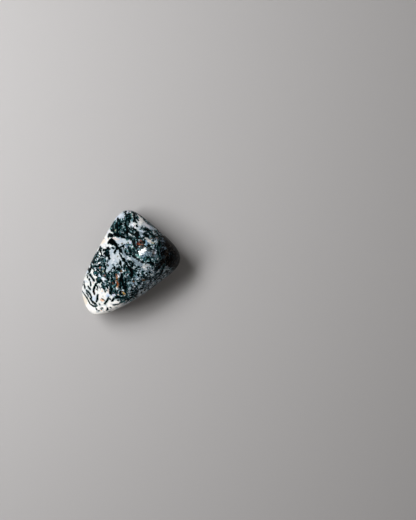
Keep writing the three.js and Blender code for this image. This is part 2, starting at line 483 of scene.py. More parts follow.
        (0.8, [(-1.3, -4.2), (-1.3, -5.6), (-1.2, -7)]), (0.5, [(-0.5, -4.8), (-0.1, -4.5), (0.3, -4.4)]),
        (0.9, [(-5.9, -7.1), (-5.8, -8), (-6, -8.8)]), (0.5, [(-6.3, -8.7), (-5.9, -9.4)]),
        (0.5, [(-4.7, -7.2), (-4.6, -8), (-4.5, -8.5)]), (0.7, [(-1.4, -8), (-1, -9), (-1, -9.9)]),
        (0.6, [(-2.9, -7.4), (-2.9, -8.8), (-2.3, -9.6)]),
        (0.6, [(-5.7, -11.4), (-5.3, -10.9), (-4.8, -10.4)]),
        (0.75, [(-4.7, -10.3), (-3.9, -10), (-3.2, -10.1), (-2.6, -10.4)]),
        (0.5, [(-3.8, -11.1), (-3.5, -11.1)]), (0.4, [(-1.7, -10.8), (-1.2, -11)]),
        (0.6, [(0.2, -10.2), (0.7, -10.3)]), (0.6, [(0, -9.6), (0.8, -9.2), (1.5, -9)]),
    ],
    "whiteEnd": [
        (0.35, [(-11, -6.6), (-10.5, -7.1), (-10.3, -7.7)]), (0.35, [(-13.9, -3.4), (-14.1, -4.2)]),
        (0.3, [(-9.9, -12.6), (-9.6, -13)]), (0.35, [(-12.4, -13.2), (-11.7, -13.5), (-11, -13.5)]),
        (0.3, [(-10.9, -14.2), (-10.7, -14.8)]), (0.3, [(-10.2, -14.9), (-9.7, -15)]),
        (0.25, [(-9.4, -14.2), (-9, -14.5)]), (0.4, [(-8.2, -7.6), (-7.9, -8.2)]),
        (0.3, [(-6.3, -13.6), (-6, -13.9)]), (0.3, [(-8.6, -7.4), (-8.3, -7.9)]),
        (0.3, [(-9, -13.9), (-8.6, -14)]), (0.5, [(-15.1, -6.1), (-14.9, -6.6)]),
        (0.6, [(-15, -6.9), (-14.8, -7.6), (-14.6, -8.2)]), (0.35, [(-15.5, -6.5), (-15.5, -7)]),
        (0.34, [(-15.7, -9.2), (-15.3, -9.6), (-14.8, -10.2), (-14.3, -10.8), (-13.8, -11.4),
               (-13.4, -12.1), (-13, -12.8), (-12.4, -13.3), (-11.8, -13.6), (-11.3, -13.7)]),
        (0.5, [(-14.2, -8.6), (-13.7, -9), (-13.3, -9.3), (-12.8, -9.9), (-12.5, -10.6), (-12.5, -11.3)]),
        (0.25, [(-14.3, -9.4), (-13.8, -10), (-13.5, -10.7)]),
        (0.55, [(-12.9, -11.2), (-12.4, -11.7), (-12.2, -12.1), (-11.6, -12.5), (-11.1, -12.8),
               (-10.8, -13.1)]),
        (0.65, [(-10.9, -6.3), (-11.2, -6.9), (-11.5, -7.6), (-11.7, -8.3), (-11.7, -9), (-11.4, -9.7)]),
        (0.65, [(-10.3, -9.8), (-10.5, -10.4), (-10.5, -11.2), (-10.8, -12)]),
        (0.35, [(-10.6, -10.1), (-10.2, -9.9)]), (0.35, [(-10.7, -6.2), (-10.3, -6.1)]),
        (0.5, [(-13.6, -7.4), (-13.1, -7.9), (-12.7, -8.4)]),
        (0.4, [(-12.9, -5.9), (-12.7, -6.5), (-12.7, -7.2)]),
        (0.5, [(-6.9, -10.4), (-7.1, -11.2), (-7.5, -11.8), (-8, -12.3)]),
        (0.5, [(-8.1, -12.4), (-7.8, -12.4)]), (0.35, [(-6.3, -10.8), (-6.1, -10.8)]),
        (0.35, [(-7.9, -8.2), (-7.7, -8.8)]), (0.4, [(-7.2, -13.8), (-7.2, -14.3), (-7.6, -14.8)]),
        (0.35, [(-5.4, -12.7), (-4.8, -12.7), (-4.2, -12.5)]),
        (0.35, [(-4.7, -12.6), (-4, -12.5), (-3.5, -12.4)]), (0.35, [(-7, -15.2), (-6.2, -15.1)]),
    ],
    "rightSide": [
        (0.6, [(5.2, 13.3), (5.7, 13)]), (0.3, [(3.7, 12.1), (3.75, 11.6)]),
        (0.6, [(3.9, 11.5), (4.4, 11.4), (4.9, 11.3)]), (0.75, [(4.9, 11.2), (5.5, 11.1), (5.8, 10.8)]),
        (0.6, [(6.5, 10.9), (6.8, 10.6)]), (0.5, [(4.4, 9.7), (4.9, 9.8)]),
        (1, [(4.8, 9.6), (5.3, 9.4), (5.9, 9.15)]), (0.5, [(7.2, 9.5), (7.5, 9.1), (7.4, 8.6)]),
        (0.3, [(6.8, 9.6), (6.9, 9.3)]), (0.4, [(8.2, 10.6), (8.5, 10.3)]),
        (0.35, [(9.5, 9.6), (9.8, 9.3)]), (0.4, [(9.3, 8.8), (9.6, 8.5)]),
        (0.45, [(6, 6.9), (6.15, 6.5)]), (0.5, [(5.3, 5.8), (5.5, 5.5)]),
        (0.45, [(5.9, 6.3), (6.1, 5.9)]), (0.45, [(6.5, 5.6), (6.9, 5.2), (7.1, 5)]),
        (0.3, [(7.4, 7.8), (7.5, 7.7)]), (0.3, [(8.2, 6.4), (8.3, 6.2)]),
        (0.7, [(9.3, 7.7), (9.4, 6.9), (9.3, 6.1)]), (0.45, [(8.8, 5.9), (8.9, 5), (9, 4.2), (9, 3.4)]),
        (0.4, [(9.4, 2.8), (9.4, 2.1)]), (0.5, [(7.2, 2.5), (7.6, 2.3)]), (0.7, [(8, 1.7), (8.8, 1.45)]),
        (0.5, [(6.6, 1.5), (6.9, 1.2)]), (0.5, [(5.5, 2.9), (6.1, 2.7)]),
        (0.45, [(5.2, 2.1), (5.2, 1.5)]), (0.4, [(6.4, 2), (6.7, 1.7)]),
        (0.35, [(7.2, -0.2), (7.3, -0.5)]), (0.3, [(2.8, -0.3), (3.2, -0.4)]),
        (0.3, [(2.1, -0.8), (2.6, -0.7)]), (0.4, [(4.2, -1.8), (4.7, -1.7)]),
        (0.35, [(5.3, -1.9), (5.3, -2.4)]), (0.6, [(2.6, -2.6), (3.1, -3)]),
        (0.25, [(4.1, -2.6), (4.3, -2.8)]), (0.35, [(7.2, -3.8), (7.8, -3.4), (8.4, -3.1)]),
        (0.45, [(7.7, -4.8), (8.2, -4.5), (8.8, -4)]),
        (0.6, [(10.7, -0.2), (10.4, -1), (10.1, -1.9), (9.7, -2.6), (9.4, -3.2), (9.1, -3.7)]),
        (0.5, [(11.2, -2.2), (11.3, -2.7)]), (0.5, [(13.3, -1.4), (13.7, -1.6)]),
        (0.45, [(2.7, -5.2), (2.8, -5.7)]), (0.4, [(4.5, -5.2), (4.8, -5.4)]),
        (0.3, [(2.3, -6.4), (2.5, -6.6)]), (0.4, [(4, -6.5), (4.3, -7)]), (0.5, [(0.6, -7.7), (1, -7.9)]),
        (0.35, [(3.6, -8.5), (3.7, -9.2)]), (0.35, [(4.7, -7.8), (4.7, -8.5)]),
        (0.4, [(5.7, -7.3), (5.8, -7.9)]), (0.35, [(7, -6.5), (7.2, -7)]),
        (0.4, [(8.4, -5.5), (8.3, -6.1)]), (0.35, [(9.8, -4.8), (9.9, -5.3)]),
        (0.3, [(6.2, -1.7), (6.5, -2.3)]), (0.35, [(5.6, -2.8), (6.2, -3)]),
        (0.3, [(8.2, -2.6), (8.7, -2.7)]),
    ],
}

# moss between the black growths, nearly as dark

darkMoss = {
    "topAndMass": [
        (0.5, [(-2.3, 13.6), (-1.9, 13.2)]), (0.5, [(-6, 11.6), (-5.5, 11.6), (-5, 11.3), (-4.7, 11)]),
        (0.4, [(-2.8, 11.6), (-2.6, 11.4)]), (0.45, [(-1.8, 12.2), (-1.5, 11.5)]),
        (0.5, [(0.1, 11.1), (0.8, 11.1)]), (0.5, [(-1.6, 9.5), (-1, 9.1), (-0.2, 8.9)]),
        (0.4, [(-1, 8.3), (-0.7, 8)]), (0.35, [(-6.3, 8.8), (-5.7, 9)]),
        (0.35, [(-5.4, 8.8), (-4.9, 8.8)]), (0.3, [(1, 8.1), (1.1, 7.3)]),
        (0.35, [(-3.2, 10.3), (-2.9, 10.4)]),
    ],
    "leftRim": [
        (0.4, [(-9.4, 4.2), (-9.1, 4.4)]), (0.35, [(-7.7, 4.1), (-7.2, 4.3)]),
        (0.3, [(-10.9, 3.5), (-10.95, 3.1)]), (0.4, [(-11.6, 2.9)]),
        (0.45, [(-11.9, 1.2), (-11.6, 0.8), (-11.3, 0.7)]), (0.4, [(-12.2, 0.6), (-12.2, -0.1)]),
        (0.4, [(-12.1, -1.6), (-11.5, -2), (-11.3, -2.6)]),
        (0.4, [(-9.4, -1.5), (-9.1, -2.2), (-8.7, -2.7)]), (0.45, [(-10.8, -3.5), (-10.4, -4.1)]),
        (0.4, [(-10.2, -2.9)]), (0.3, [(-8.8, -3.7)]), (0.4, [(-7.9, -3.8)]),
        (0.7, [(-10.4, -4.7), (-9.9, -5), (-9.5, -5.6)]), (0.3, [(-9.6, -4.6), (-9.5, -5)]),
        (0.25, [(-8.9, -6.2), (-8.7, -6.6)]), (0.4, [(-15.1, -3.7), (-15, -4.2)]),
        (0.25, [(-11, -6.3), (-10.8, -7)]),
    ],
    "middle": [
        (0.4, [(-7.1, -3.7), (-6.7, -4)]), (0.35, [(-5.2, -2.9), (-4.9, -3.3)]), (0.4, [(-6.3, -4.4)]),
        (0.4, [(-4.9, -4.8), (-4.5, -4.6)]),
        (0.45, [(-7.7, -5.3), (-7.1, -5.7), (-6.4, -5.9), (-5.8, -5.6), (-5.5, -5.1)]),
        (0.4, [(-5.8, -5.6), (-5.2, -5.3), (-4.6, -5.2)]),
        (0.5, [(-5.9, -5.9), (-6.4, -6.4), (-6.9, -6.7), (-7.1, -7.2), (-7.1, -7.6)]),
        (0.4, [(-4.7, -6.5), (-4.3, -6.6), (-4, -6.3)]), (0.4, [(-2.9, -6.6), (-2.7, -7)]),
        (0.4, [(-0.8, -6), (-0.9, -7)]), (0.5, [(-0.9, -7.3), (-0.7, -8)]),
        (0.4, [(-1.4, -3.8), (-0.8, -4.1), (-0.1, -4), (0.6, -3.7)]),
        (0.5, [(-0.9, -1), (-0.8, -1.8), (-0.6, -2.3), (0, -2.1)]), (0.35, [(-1.2, -0.1), (-1, -0.5)]),
        (0.3, [(-0.1, 0.9), (0, 0.3), (0.1, -0.1)]), (0.3, [(0.2, 0.8), (0.5, 0.6)]),
        (0.45, [(1.75, 0.05)]),
        (0.4, [(-5.9, -9.2), (-5.2, -8.9), (-4.5, -8.9), (-4, -8.3), (-4.1, -7.9)]),
        (0.3, [(-5.2, -7), (-5.1, -8.6)]), (0.4, [(-3.4, -8.3), (-3.5, -9), (-3, -9.4)]),
        (0.7, [(-2.4, -9.7), (-1.7, -9.9), (-1, -10.3), (-0.3, -10.6)]),
        (0.8, [(-1.8, -10.4), (-0.9, -10.8), (0, -11)]), (0.4, [(-2.9, -11.2), (-2.6, -11.8)]),
        (0.4, [(-3.2, -12.1)]), (0.3, [(-1.2, -12.3)]), (0.45, [(-9, -10.9), (-8.5, -11.2)]),
        (0.3, [(-7, -10)]), (0.4, [(-11.1, -13.6)]), (0.35, [(-10.6, -8)]),
    ],
    "summit": [
        (0.5, [(-1.9, 5.7), (-1.6, 4.6), (-1.1, 3.6), (-0.4, 2.9)]),
        (0.35, [(-2.5, 4.4), (-2.1, 3.6), (-1.5, 2.9)]), (0.3, [(-2.7, 5.6), (-2.4, 5)]),
        (0.5, [(-0.3, 5.2), (0, 4.4), (0.1, 3.8)]), (0.4, [(-1, 6.3), (-0.6, 5.6)]),
        (0.3, [(-0.9, 2.3), (-0.3, 1.9)]), (0.4, [(0.9, 3.9), (1.5, 3.4), (1.9, 3.2)]),
        (0.35, [(2.3, 4.5), (2.6, 3.7)]), (0.3, [(1, 1.6), (1.8, 1.1)]),
        (0.45, [(-0.6, 1.7), (0, 1.2), (0.7, 0.7), (1.3, 0.2), (1.9, -0.1)]),
        (0.3, [(-1, 3), (-0.3, 2.9)]), (0.3, [(4.9, -0.6)]), (0.3, [(5.7, -0.3)]),
        (0.3, [(3, 2.7), (3.6, 2.4)]), (0.5, [(6.4, 0.7), (7, 0.4)]),
        (0.4, [(-0.3, 6), (-0.4, 5.3), (-0.9, 4.9)]), (0.4, [(0.2, 5.4), (0.6, 5.1)]),
        (0.4, [(0.9, 5.3), (1.3, 5.1)]), (0.7, [(1.3, 4.4), (1.7, 4), (1.6, 3.5)]),
        (0.35, [(-0.3, 4.6), (-0.1, 3.7)]), (0.7, [(3.2, 5.8), (4, 5.8), (4.4, 5.9)]),
        (0.35, [(4.4, 7.2), (4.5, 6.8)]), (0.35, [(4.9, 8.9), (5.6, 8.7), (6.2, 8.8)]),
        (0.3, [(7.9, 9.4), (8, 9), (7.7, 8.4), (7.1, 8.5)]), (0.7, [(5.6, 10.6), (6.2, 10.4)]),
        (0.6, [(6, 10.2), (6.5, 9.9)]), (0.35, [(7, 10.8), (7.2, 10.9)]),
        (0.35, [(4.8, 10.2), (5.2, 10.2)]), (0.5, [(7.7, 10.3), (8, 10.1)]),
        (0.8, [(8.4, 10.1), (8.9, 9.7), (9.2, 9.2)]), (0.4, [(8, 8.2), (8.2, 7.9)]), (0.35, [(7.9, 6.9)]),
        (0.3, [(8.1, 5.5)]), (0.3, [(6.2, 6.2), (6.5, 6.4)]), (0.3, [(5.7, 5.6), (6.2, 5.3)]),
        (0.35, [(7.1, 4.9), (7.6, 4.5)]), (0.45, [(7.5, 4.2), (7.3, 3.6), (6.9, 3.3)]),
        (0.3, [(4.1, 3.5)]), (0.5, [(4.2, 1.8), (4.5, 2.1), (4.8, 1.8)]),
        (0.35, [(5.7, 2.2), (6.2, 1.7)]), (0.35, [(6.3, 2.5), (6.8, 2.4)]),
        (0.35, [(7.2, 2), (7.5, 1.6), (8.1, 1.5)]), (0.6, [(7.5, 0.6), (7.4, 0.1)]),
    ],
    "lowerRight": [
        (0.5, [(7.9, -0.8), (8.4, -0.5), (8.9, -0.6)]), (0.6, [(7.6, -1.6), (8.1, -1.5)]),
        (0.5, [(8.5, -1.3), (8.6, -1.7)]), (0.3, [(1.5, -1), (1.9, -1.1)]),
        (0.4, [(3.3, -1.1), (3.1, -1.4)]), (0.3, [(5.9, -1.1)]), (0.35, [(6.2, -2)]),
        (0.3, [(3.8, -1.9)]), (0.5, [(4.5, -2.8), (4.9, -3.2)]),
        (0.9, [(4.3, -3.6), (5.2, -3.8), (6.3, -3.6)]),
        (0.5, [(3.1, -4.9), (3.7, -4.7), (4.6, -4.4), (5.6, -4.1)]),
        (0.7, [(6.1, -4.1), (6.7, -4.3), (7, -4.5)]), (0.4, [(6.4, -4.9), (6.6, -4.6)]),
        (0.25, [(3.1, -4), (3.1, -4.6)]), (0.5, [(3.3, -5), (3.3, -5.7)]),
        (0.3, [(5.1, -5.1), (5.3, -5.6)]), (0.4, [(4.4, -5.7), (4.1, -6.1)]),
        (0.35, [(4.5, -6), (5, -6.1)]), (0.5, [(5.9, -6.2), (5.6, -6.7)]),
        (0.55, [(3.4, -7.4), (4, -7.2)]), (0.45, [(0.3, -5.8), (0.8, -6.2), (1.3, -6.9), (1.6, -7.4)]),
        (0.3, [(1.9, -6.2), (2, -6.7), (2.6, -6.9)]),
        (0.8, [(1.7, -7.4), (2.1, -7.9), (2.5, -8), (2.4, -8.8)]),
        (0.5, [(1.4, -8.4), (1, -8.4), (0.5, -8.7), (-0.3, -8.7)]), (0.6, [(2.1, -9.2), (1.9, -9.9)]),
        (0.4, [(1.5, -3.6), (1.3, -4.3), (1, -5)]), (0.3, [(1.4, -4.8)]),
        (0.9, [(11.3, -1.9), (11.8, -2.2), (11.7, -2.9)]), (0.4, [(11.7, -3), (11.8, -3.7)]),
        (0.4, [(10.4, -3.1)]), (0.35, [(9.9, -2.3), (9.8, -3.1), (9.7, -3.8)]),
        (0.3, [(8.4, -2.9), (9.2, -2.5)]), (0.3, [(7.8, -4.1), (8.5, -3.7), (9, -3.4)]),
        (0.4, [(9.5, -3.9), (9.8, -4.1)]), (0.7, [(12.9, -0.8)]),
    ],
}

# soft dark smudges, seen through a little of the milky stone

veils = {
    "teal": [
        (0.5, [(-5.9, 12.1), (-5.9, 11.5)]), (0.4, [(-2.3, 13.8), (-2.2, 13.2)]),
        (0.7, [(-1.6, 12), (-1.5, 11.3)]), (0.45, [(2.1, 13.5), (2.3, 13.2)]),
        (0.35, [(3.3, 11.2), (3.9, 11.2)]), (0.35, [(5.9, 10.6), (6.2, 10.2)]),
        (0.35, [(-0.3, 6.6), (-0.3, 5.7)]), (0.5, [(3.2, 5.8), (3.9, 5.6)]),
        (0.45, [(6.1, 2.4), (6.7, 2.4)]), (0.5, [(-12.2, 0.9), (-12.3, 0.3)]),
        (0.5, [(-11.5, -1.9), (-11.1, -2.6), (-10.7, -3.2)]), (0.6, [(-10.8, -3), (-10.6, -3.6)]),
        (0.7, [(-10.2, -4.5), (-9.9, -5.2), (-9.7, -5.9)]),
        (0.35, [(-7.5, -4.3), (-6.8, -4.4), (-6, -4.7), (-5.6, -5.4), (-6.1, -5.9),
               (-6.8, -5.8), (-7.3, -5.2)]),
        (0.4, [(-7.7, -5.2), (-7.4, -5.9), (-6.8, -6.2)]), (0.35, [(7.5, -1.7), (7.9, -1.9)]),
        (0.35, [(3.7, -2), (4, -2.1)]), (0.35, [(3.8, -3.2), (3.9, -3.5)]),
        (0.6, [(-2.8, -11.3), (-2.5, -11.7), (-2.9, -12.2)]),
        (0.5, [(-11.4, -13.6), (-10.9, -13.5), (-10.4, -13.3)]), (0.4, [(-6.9, -9.9), (-6.9, -10.5)]),
    ],
    "jade": [(0.45, [(-6.4, 11.2), (-6.2, 11)]), (0.4, [(-11.9, 0.5), (-11.8, 0)])],
    "petrol": [(0.5, [(-3.1, 10.1), (-2.7, 9.6)]), (0.5, [(0.5, 15), (0.6, 14.2), (0.7, 13.6)])],
    "deepTeal": [(0.6, [(4.25, 2.35), (4.4, 1.75)])],
    "paleSea": [(0.35, [(5.2, 2.5), (5.5, 1.9), (6, 1.5), (6.4, 1.5)])],
    "graphite": [
        (0.6, [(5.2, -3.6), (6.6, -3.7)]), (0.9, [(6.2, 5), (6.8, 4.5)]), (0.6, [(7.8, 5.2), (8.2, 4.6)]),
        (0.5, [(7, 3.1), (7.8, 2.6)]),
    ],
    "slate": [
        (0.5, [(6.4, 4), (7, 3.7)]), (0.4, [(7.9, 3.2), (8.3, 2.9)]), (0.4, [(5.8, 4.2), (6, 3.4)]),
    ],
    "taupe": [(0.8, [(7.2, 4.4), (7.6, 3.9)]), (0.5, [(8.4, 8.6), (9, 8.1)])],
    "pewter": [
        (0.4, [(-10, -6.9), (-9.6, -7.5), (-9.2, -7.9)]),
        (0.25, [(-13.7, -9.4), (-13.5, -10.1), (-13.3, -10.7)]), (0.25, [(-13.3, -10.7), (-12.9, -11.4)]),
        (0.4, [(-13.3, -4), (-12.9, -4)]),
    ],
    "darkOlive": [
        (0.35, [(-10.9, -7.9), (-10.5, -8.2), (-10.3, -8.5)]), (0.35, [(-3.7, 2.75)]),
        (0.4, [(-2.3, 6.75)]), (0.4, [(-0.5, 6.9)]), (0.3, [(-0.4, 7.8)]), (0.4, [(-8, -8.6)]),
    ],
    "softGrey": [
        (0.35, [(-8.9, -14.6), (-8.5, -14.6)]), (0.35, [(-10.9, -15.4), (-10.4, -15.4), (-10.1, -15.1)]),
        (0.25, [(-11, -14), (-10.9, -14.7)]), (0.3, [(-14.6, -6.3), (-14.6, -6.6)]),
        (0.4, [(-6.3, -14.4)]), (0.4, [(-8.4, -15.2)]), (0.4, [(-4.2, -13.6)]), (0.4, [(4.3, 13.2)]),
    ],
}

# light places between the dark growths, where the stone shows through

# the pale strokes along the lower right rim, from (2.6, -9.8) to (13.6, -2.2), are partly the stone's grey
# and partly painted reflection of the floor
windows = {
    "iceBlue": [
        (0.5, [(-1.8, 12.6)]), (0.45, [(-5.3, 9.7), (-4.9, 9.2)]), (0.4, [(-1.1, 8.9), (-0.3, 8.3)]),
        (0.45, [(-9.8, -3.5), (-9.6, -4.1)]),
    ],
    "skyBlue": [(0.5, [(-6.9, -9.8)]), (0.3, [(-3.4, -7.8)])],
    "dove": [
        (0.5, [(3.9, -0.9), (4.8, -1.2), (5.6, -1.2)]), (1, [(3.5, 10.2), (4, 9.6)]),
        (1, [(-2.4, 5.1), (-2, 4), (-1.5, 3), (-0.8, 2.3)]), (0.6, [(-1.2, 1.9), (-0.5, 1.2)]),
        (0.4, [(0.3, 2.9), (1.2, 2.4)]), (0.7, [(0.6, 2.3), (1.8, 1.6), (2.8, 1)]),
        (0.9, [(2.4, 0.8), (3.5, 0.3)]), (0.35, [(5.8, -1.9), (6.6, -1.6)]),
        (0.4, [(7, -1.1), (7.6, -0.7)]), (0.4, [(5.4, -4.9), (6.2, -4.7)]),
        (0.4, [(7.6, -2.6), (8.4, -2.2)]), (0.35, [(3, -3.8), (3.6, -4)]),
        (0.4, [(6.8, -5.4), (7.4, -5.1)]),
    ],
    "blue": [
        (0.4, [(2.1, 7.9), (2.7, 7.6)]), (0.7, [(5.2, 7.6), (5.3, 7), (5.4, 6.4)]), (0.5, [(-8.3, -6.2)]),
    ],
    "lavender": [
        (0.6, [(0.3, 7.4), (0.5, 6.8)]), (0.3, [(-0.65, -3)]), (0.3, [(-3, -2.3), (-2.3, -2.6)]),
        (0.35, [(-4.6, -5.6)]), (0.4, [(-2.4, -7.8)]), (0.5, [(-5.3, -9.4), (-4.8, -9.3)]),
        (0.35, [(-2.25, -1.2)]), (0.35, [(-1, 16.9), (-0.9, 16.2)]), (0.35, [(-8.3, 2.8), (-8.1, 2)]),
        (0.3, [(-7.6, 2.2)]), (0.35, [(-8.9, 0.4)]), (0.3, [(-9.3, -0.2)]),
        (0.4, [(-7.3, 0.6), (-7.1, -0.2)]), (0.35, [(-3.3, -2.5)]), (0.3, [(-2.6, -2.6)]),
        (0.4, [(8.2, 4.4), (8.3, 4)]), (0.3, [(7.6, 6.3)]),
    ],
    "pearl": [
        (0.7, [(-8.6, -4.5), (-8.4, -4.9)]), (0.65, [(0.8, 12.7), (1.3, 12.1), (1.8, 11.6)]),
        # the wide stroke from (4.7, 13) to (6.1, 11.8) lies where the side turns from the light: the
        # stone's white, partly painted light
        (0.6, [(-3.6, -3.2), (-3.4, -3.8)]), (1, [(4.7, 13), (5.4, 12.4), (6.1, 11.8)]),
        (0.5, [(-11, -1.9)]), (0.4, [(-9.6, 0.1)]), (0.6, [(-5.4, -10.8), (-5.2, -11.4)]),
        (0.6, [(-15.1, -5.5), (-14.9, -5.8)]), (0.6, [(0, 16.8), (0.2, 16)]),
    ],
    "snow": [
        (0.55, [(-12.6, -2.5), (-12.1, -3.1)]), (0.9, [(2.7, 15.2), (3.3, 14.6), (3.9, 13.9)]),
        # the wide stroke from (-5.6, -11.9) to (-3.6, -11.6) lies where the side turns from the light: the
        # stone's white, partly painted light
        (0.8, [(3, 13.9), (3.6, 13.2)]), (0.9, [(-5.6, -11.9), (-4.6, -11.7), (-3.6, -11.6)]),
        (0.35, [(-6.75, -5.1)]), (0.35, [(-11.6, -5.1)]), (0.35, [(-9.7, 3.6), (-9.4, 2.9)]),
        (0.3, [(-9.9, 2.2)]), (0.3, [(-9, 2.3)]), (0.3, [(-10, 0.4), (-10, 0)]), (0.3, [(0.1, 17)]),
    ],
    "softGrey": [
        # the first six run along the lower right rim: partly the stone's grey, partly painted reflection
        (0.5, [(2.6, -9.8), (3.2, -9.4)]), (0.45, [(3.8, -9), (4.4, -8.5)]),
        (0.45, [(4.9, -8.3), (5.4, -7.8)]), (0.5, [(6, -7.6), (6.6, -7)]),
        (0.5, [(8.6, -5.8), (9.4, -5.3)]), (0.7, [(10, -4.9), (11, -4.5)]),
        (0.5, [(5.4, -5.4), (6, -5.6)]), (0.4, [(7.2, -5.8), (7.6, -5.4)]),
        (0.6, [(4.9, -1), (5.6, -1.3)]), (0.45, [(7, -1.4), (7.6, -1.9)]),
        (0.4, [(6.6, -2.6), (7.2, -2.9)]), (0.4, [(3.5, -2.6), (3.4, -3.2)]),
        (0.4, [(8.6, -2.1), (9.2, -1.7)]),
    ],
    "milk": [
        (0.3, [(0.9, 16.5), (0.85, 15.6), (0.9, 14.8)]), (0.3, [(-0.5, 16.8), (-0.4, 16.4)]),
        (0.25, [(-6.4, 8.6)]), (0.3, [(0, 9.8), (0.8, 9.1)]), (0.5, [(4.6, -0.35)]),
        (0.35, [(-6.9, -8.8)]), (0.4, [(-4.2, -7), (-4.1, -7.5)]), (0.3, [(-6.2, -3), (-6.1, -3.6)]),
        (0.3, [(-6.4, -4.6)]), (0.25, [(-5, -3.5)]),
    ],
    "blush": [
        (0.7, [(-5.6, 8.2), (-4.6, 8.2), (-3.4, 7.9)]), (0.5, [(-6.3, 10.4)]),
        (0.8, [(6.2, 7.8), (6.8, 7.3)]), (0.55, [(-6.9, -7.3), (-6.95, -8.5)]), (0.5, [(-3.6, -9.4)]),
        (0.35, [(-1.4, -1.5)]), (0.25, [(-0.5, 2.8)]),
    ],
    "ash": [
        (0.6, [(2.4, 10.9), (2.9, 10.3)]), (0.8, [(5.1, 8.5), (5.9, 8.1)]),
        (0.7, [(4.4, -0.1), (5.3, 0.3), (6.2, 0.2)]), (0.5, [(1.6, -0.4)]),
        (0.25, [(0.6, 0.3), (0.8, -0.2), (1.1, -0.8)]), (0.6, [(-1.3, -11.5)]),
    ],
    "mist": [
        (0.4, [(-2.3, 12.2), (-2.1, 11.3)]), (0.4, [(-2.3, 10.4)]), (0.35, [(0.4, 10.7), (0.7, 10.3)]),
        (0.3, [(1.6, 9.7)]), (0.3, [(2.2, 8.8)]), (0.25, [(-0.7, 5), (-0.8, 4.2), (-0.5, 3.7)]),
        (0.5, [(2.7, 0.6), (3.6, 0.2)]), (0.5, [(-1.3, -3.9), (-1.1, -4.6)]),
        (0.45, [(-3.2, -3.2), (-3.3, -3.9)]), (0.35, [(8.35, 4.1)]), (0.5, [(4.8, -1.1)]),
        (0.5, [(8.1, -2.6)]), (0.35, [(-1.3, -2.5), (-1.3, -3.6)]), (0.4, [(0, -2.6)]),
        (0.3, [(-2.1, -3.7)]), (0.3, [(-6.9, -6)]), (0.45, [(-1.95, -11.9)]),
        (0.25, [(-0.8, -5.3), (-0.5, -5.1), (-0.2, -5.3), (-0.5, -5.6), (-0.8, -5.3)]),
        # the two strokes on this line run along the lower right rim: partly painted reflection
        (0.5, [(7.5, -6.6), (8, -6.3)]), (0.5, [(11.9, -3.7), (12.7, -3), (13.6, -2.2)]),
        (0.4, [(11.5, -1.4), (12.4, -1.6)]), (0.3, [(-2.9, 13.2)]), (0.3, [(-2.1, 11.4)]),
        (0.3, [(-1.7, 11.9)]), (0.3, [(-3.3, 10.9)]), (0.3, [(-2.8, 10.4)]), (0.3, [(-5, 11.3)]),
        (0.3, [(-1.2, 9.6)]), (0.3, [(-2.2, 10.1)]), (0.25, [(-0.8, 10.2), (-0.1, 9.6), (0.5, 9.1)]),
        (0.3, [(0.9, 11), (1.5, 10.3)]), (0.3, [(-11.2, -1.5)]), (0.25, [(-9, -1.9)]),
        (0.25, [(-6.3, -6.3)]), (0.3, [(-5.2, -7.5)]),
    ],
    "steel": [
        (0.35, [(-3.5, 13.3)]), (0.6, [(-1.1, 6.2), (-0.8, 5.7)]), (0.4, [(2.6, 5.3)]),
        (0.7, [(4.9, 3.9), (4.5, 2.9)]), (0.4, [(7.1, 4.4)]), (0.4, [(8.3, 5)]), (0.4, [(8.3, 2.3)]),
    ],
    "pewter": [
        (0.35, [(9.7, 7.7)]), (0.9, [(11.4, -0.9), (12.1, -1)]), (0.5, [(10.5, -2.6)]),
        (0.6, [(-0.4, -8.3)]), (0.3, [(8.6, -3.8)]), (0.6, [(12.3, -2.2), (13.3, -2.5)]),
    ],
    "slate": [
        (0.6, [(10.4, 8.4), (10.3, 8)]), (0.8, [(10.4, 7.7), (10.2, 7.3)]),
        (0.5, [(10.4, 6.8), (10.1, 6.4)]), (0.5, [(10.2, 5.7), (10.8, 5.7)]),
        (0.4, [(11.3, 5.6), (11.3, 5.2), (10.7, 5.2)]), (0.3, [(10, 4.8), (10, 4.4)]),
        (0.3, [(12.4, 3.6)]), (0.3, [(9.4, 3.7), (9.5, 3.3)]), (0.35, [(8.9, 6.7)]),
        (0.4, [(9.9, -0.4), (10, -0.8)]),
    ],
    "sea": [
        (0.35, [(-3.5, 12.5)]), (0.6, [(11.3, -4.3), (11.7, -3.9)]), (0.4, [(1.3, 5.7), (1.6, 5.3)]),
        (0.4, [(2.1, 3.5), (2.8, 3), (3.5, 2.7)]), (0.3, [(3, 3.8), (3.3, 3.4)]),
        (0.3, [(-1.6, 4.9), (-1.3, 4.2)]), (0.4, [(-4.9, -8)]),
        (0.4, [(0.5, 16.5), (0.5, 15.5), (0.4, 14.5), (0.5, 13.8)]), (0.35, [(-11.3, 2.3)]),
        (0.3, [(-10.6, 0.9)]), (0.25, [(5.5, 3), (6.1, 2.2), (6.9, 1.5)]), (0.25, [(4.9, 2.9), (5.4, 2)]),
    ],
    "petrol": [
        (0.3, [(-5.8, 12.2)]), (0.3, [(-4.7, 12.9)]), (0.3, [(-3.6, 12.9)]), (0.3, [(-2.6, 11.9)]),
        (0.3, [(-4.3, 11.9)]), (0.3, [(-4, 11)]), (0.3, [(-3.9, 10.2)]), (0.3, [(-11.2, 1.2)]),
        (0.3, [(-12.2, -0.9)]), (0.4, [(-1, 4.8), (-0.5, 4)]),
    ],
    "jade": [(0.45, [(0.2, 5.9), (0.4, 5.6)]), (0.35, [(-0.8, 7.9), (-0.5, 7.4)])],
    "cyan": [(0.35, [(-5.15, 11.9)]), (0.25, [(4.9, 6.6)]), (0.25, [(-10.2, 2.7)])],
    "olive": [
        (0.4, [(-4.6, 10.6)]), (0.6, [(7.1, 7.4), (7.5, 7)]), (0.5, [(-3.1, -8.3)]),
        (0.5, [(-8.5, -2.3)]),
    ],
}

# iron stains, in and over the moss

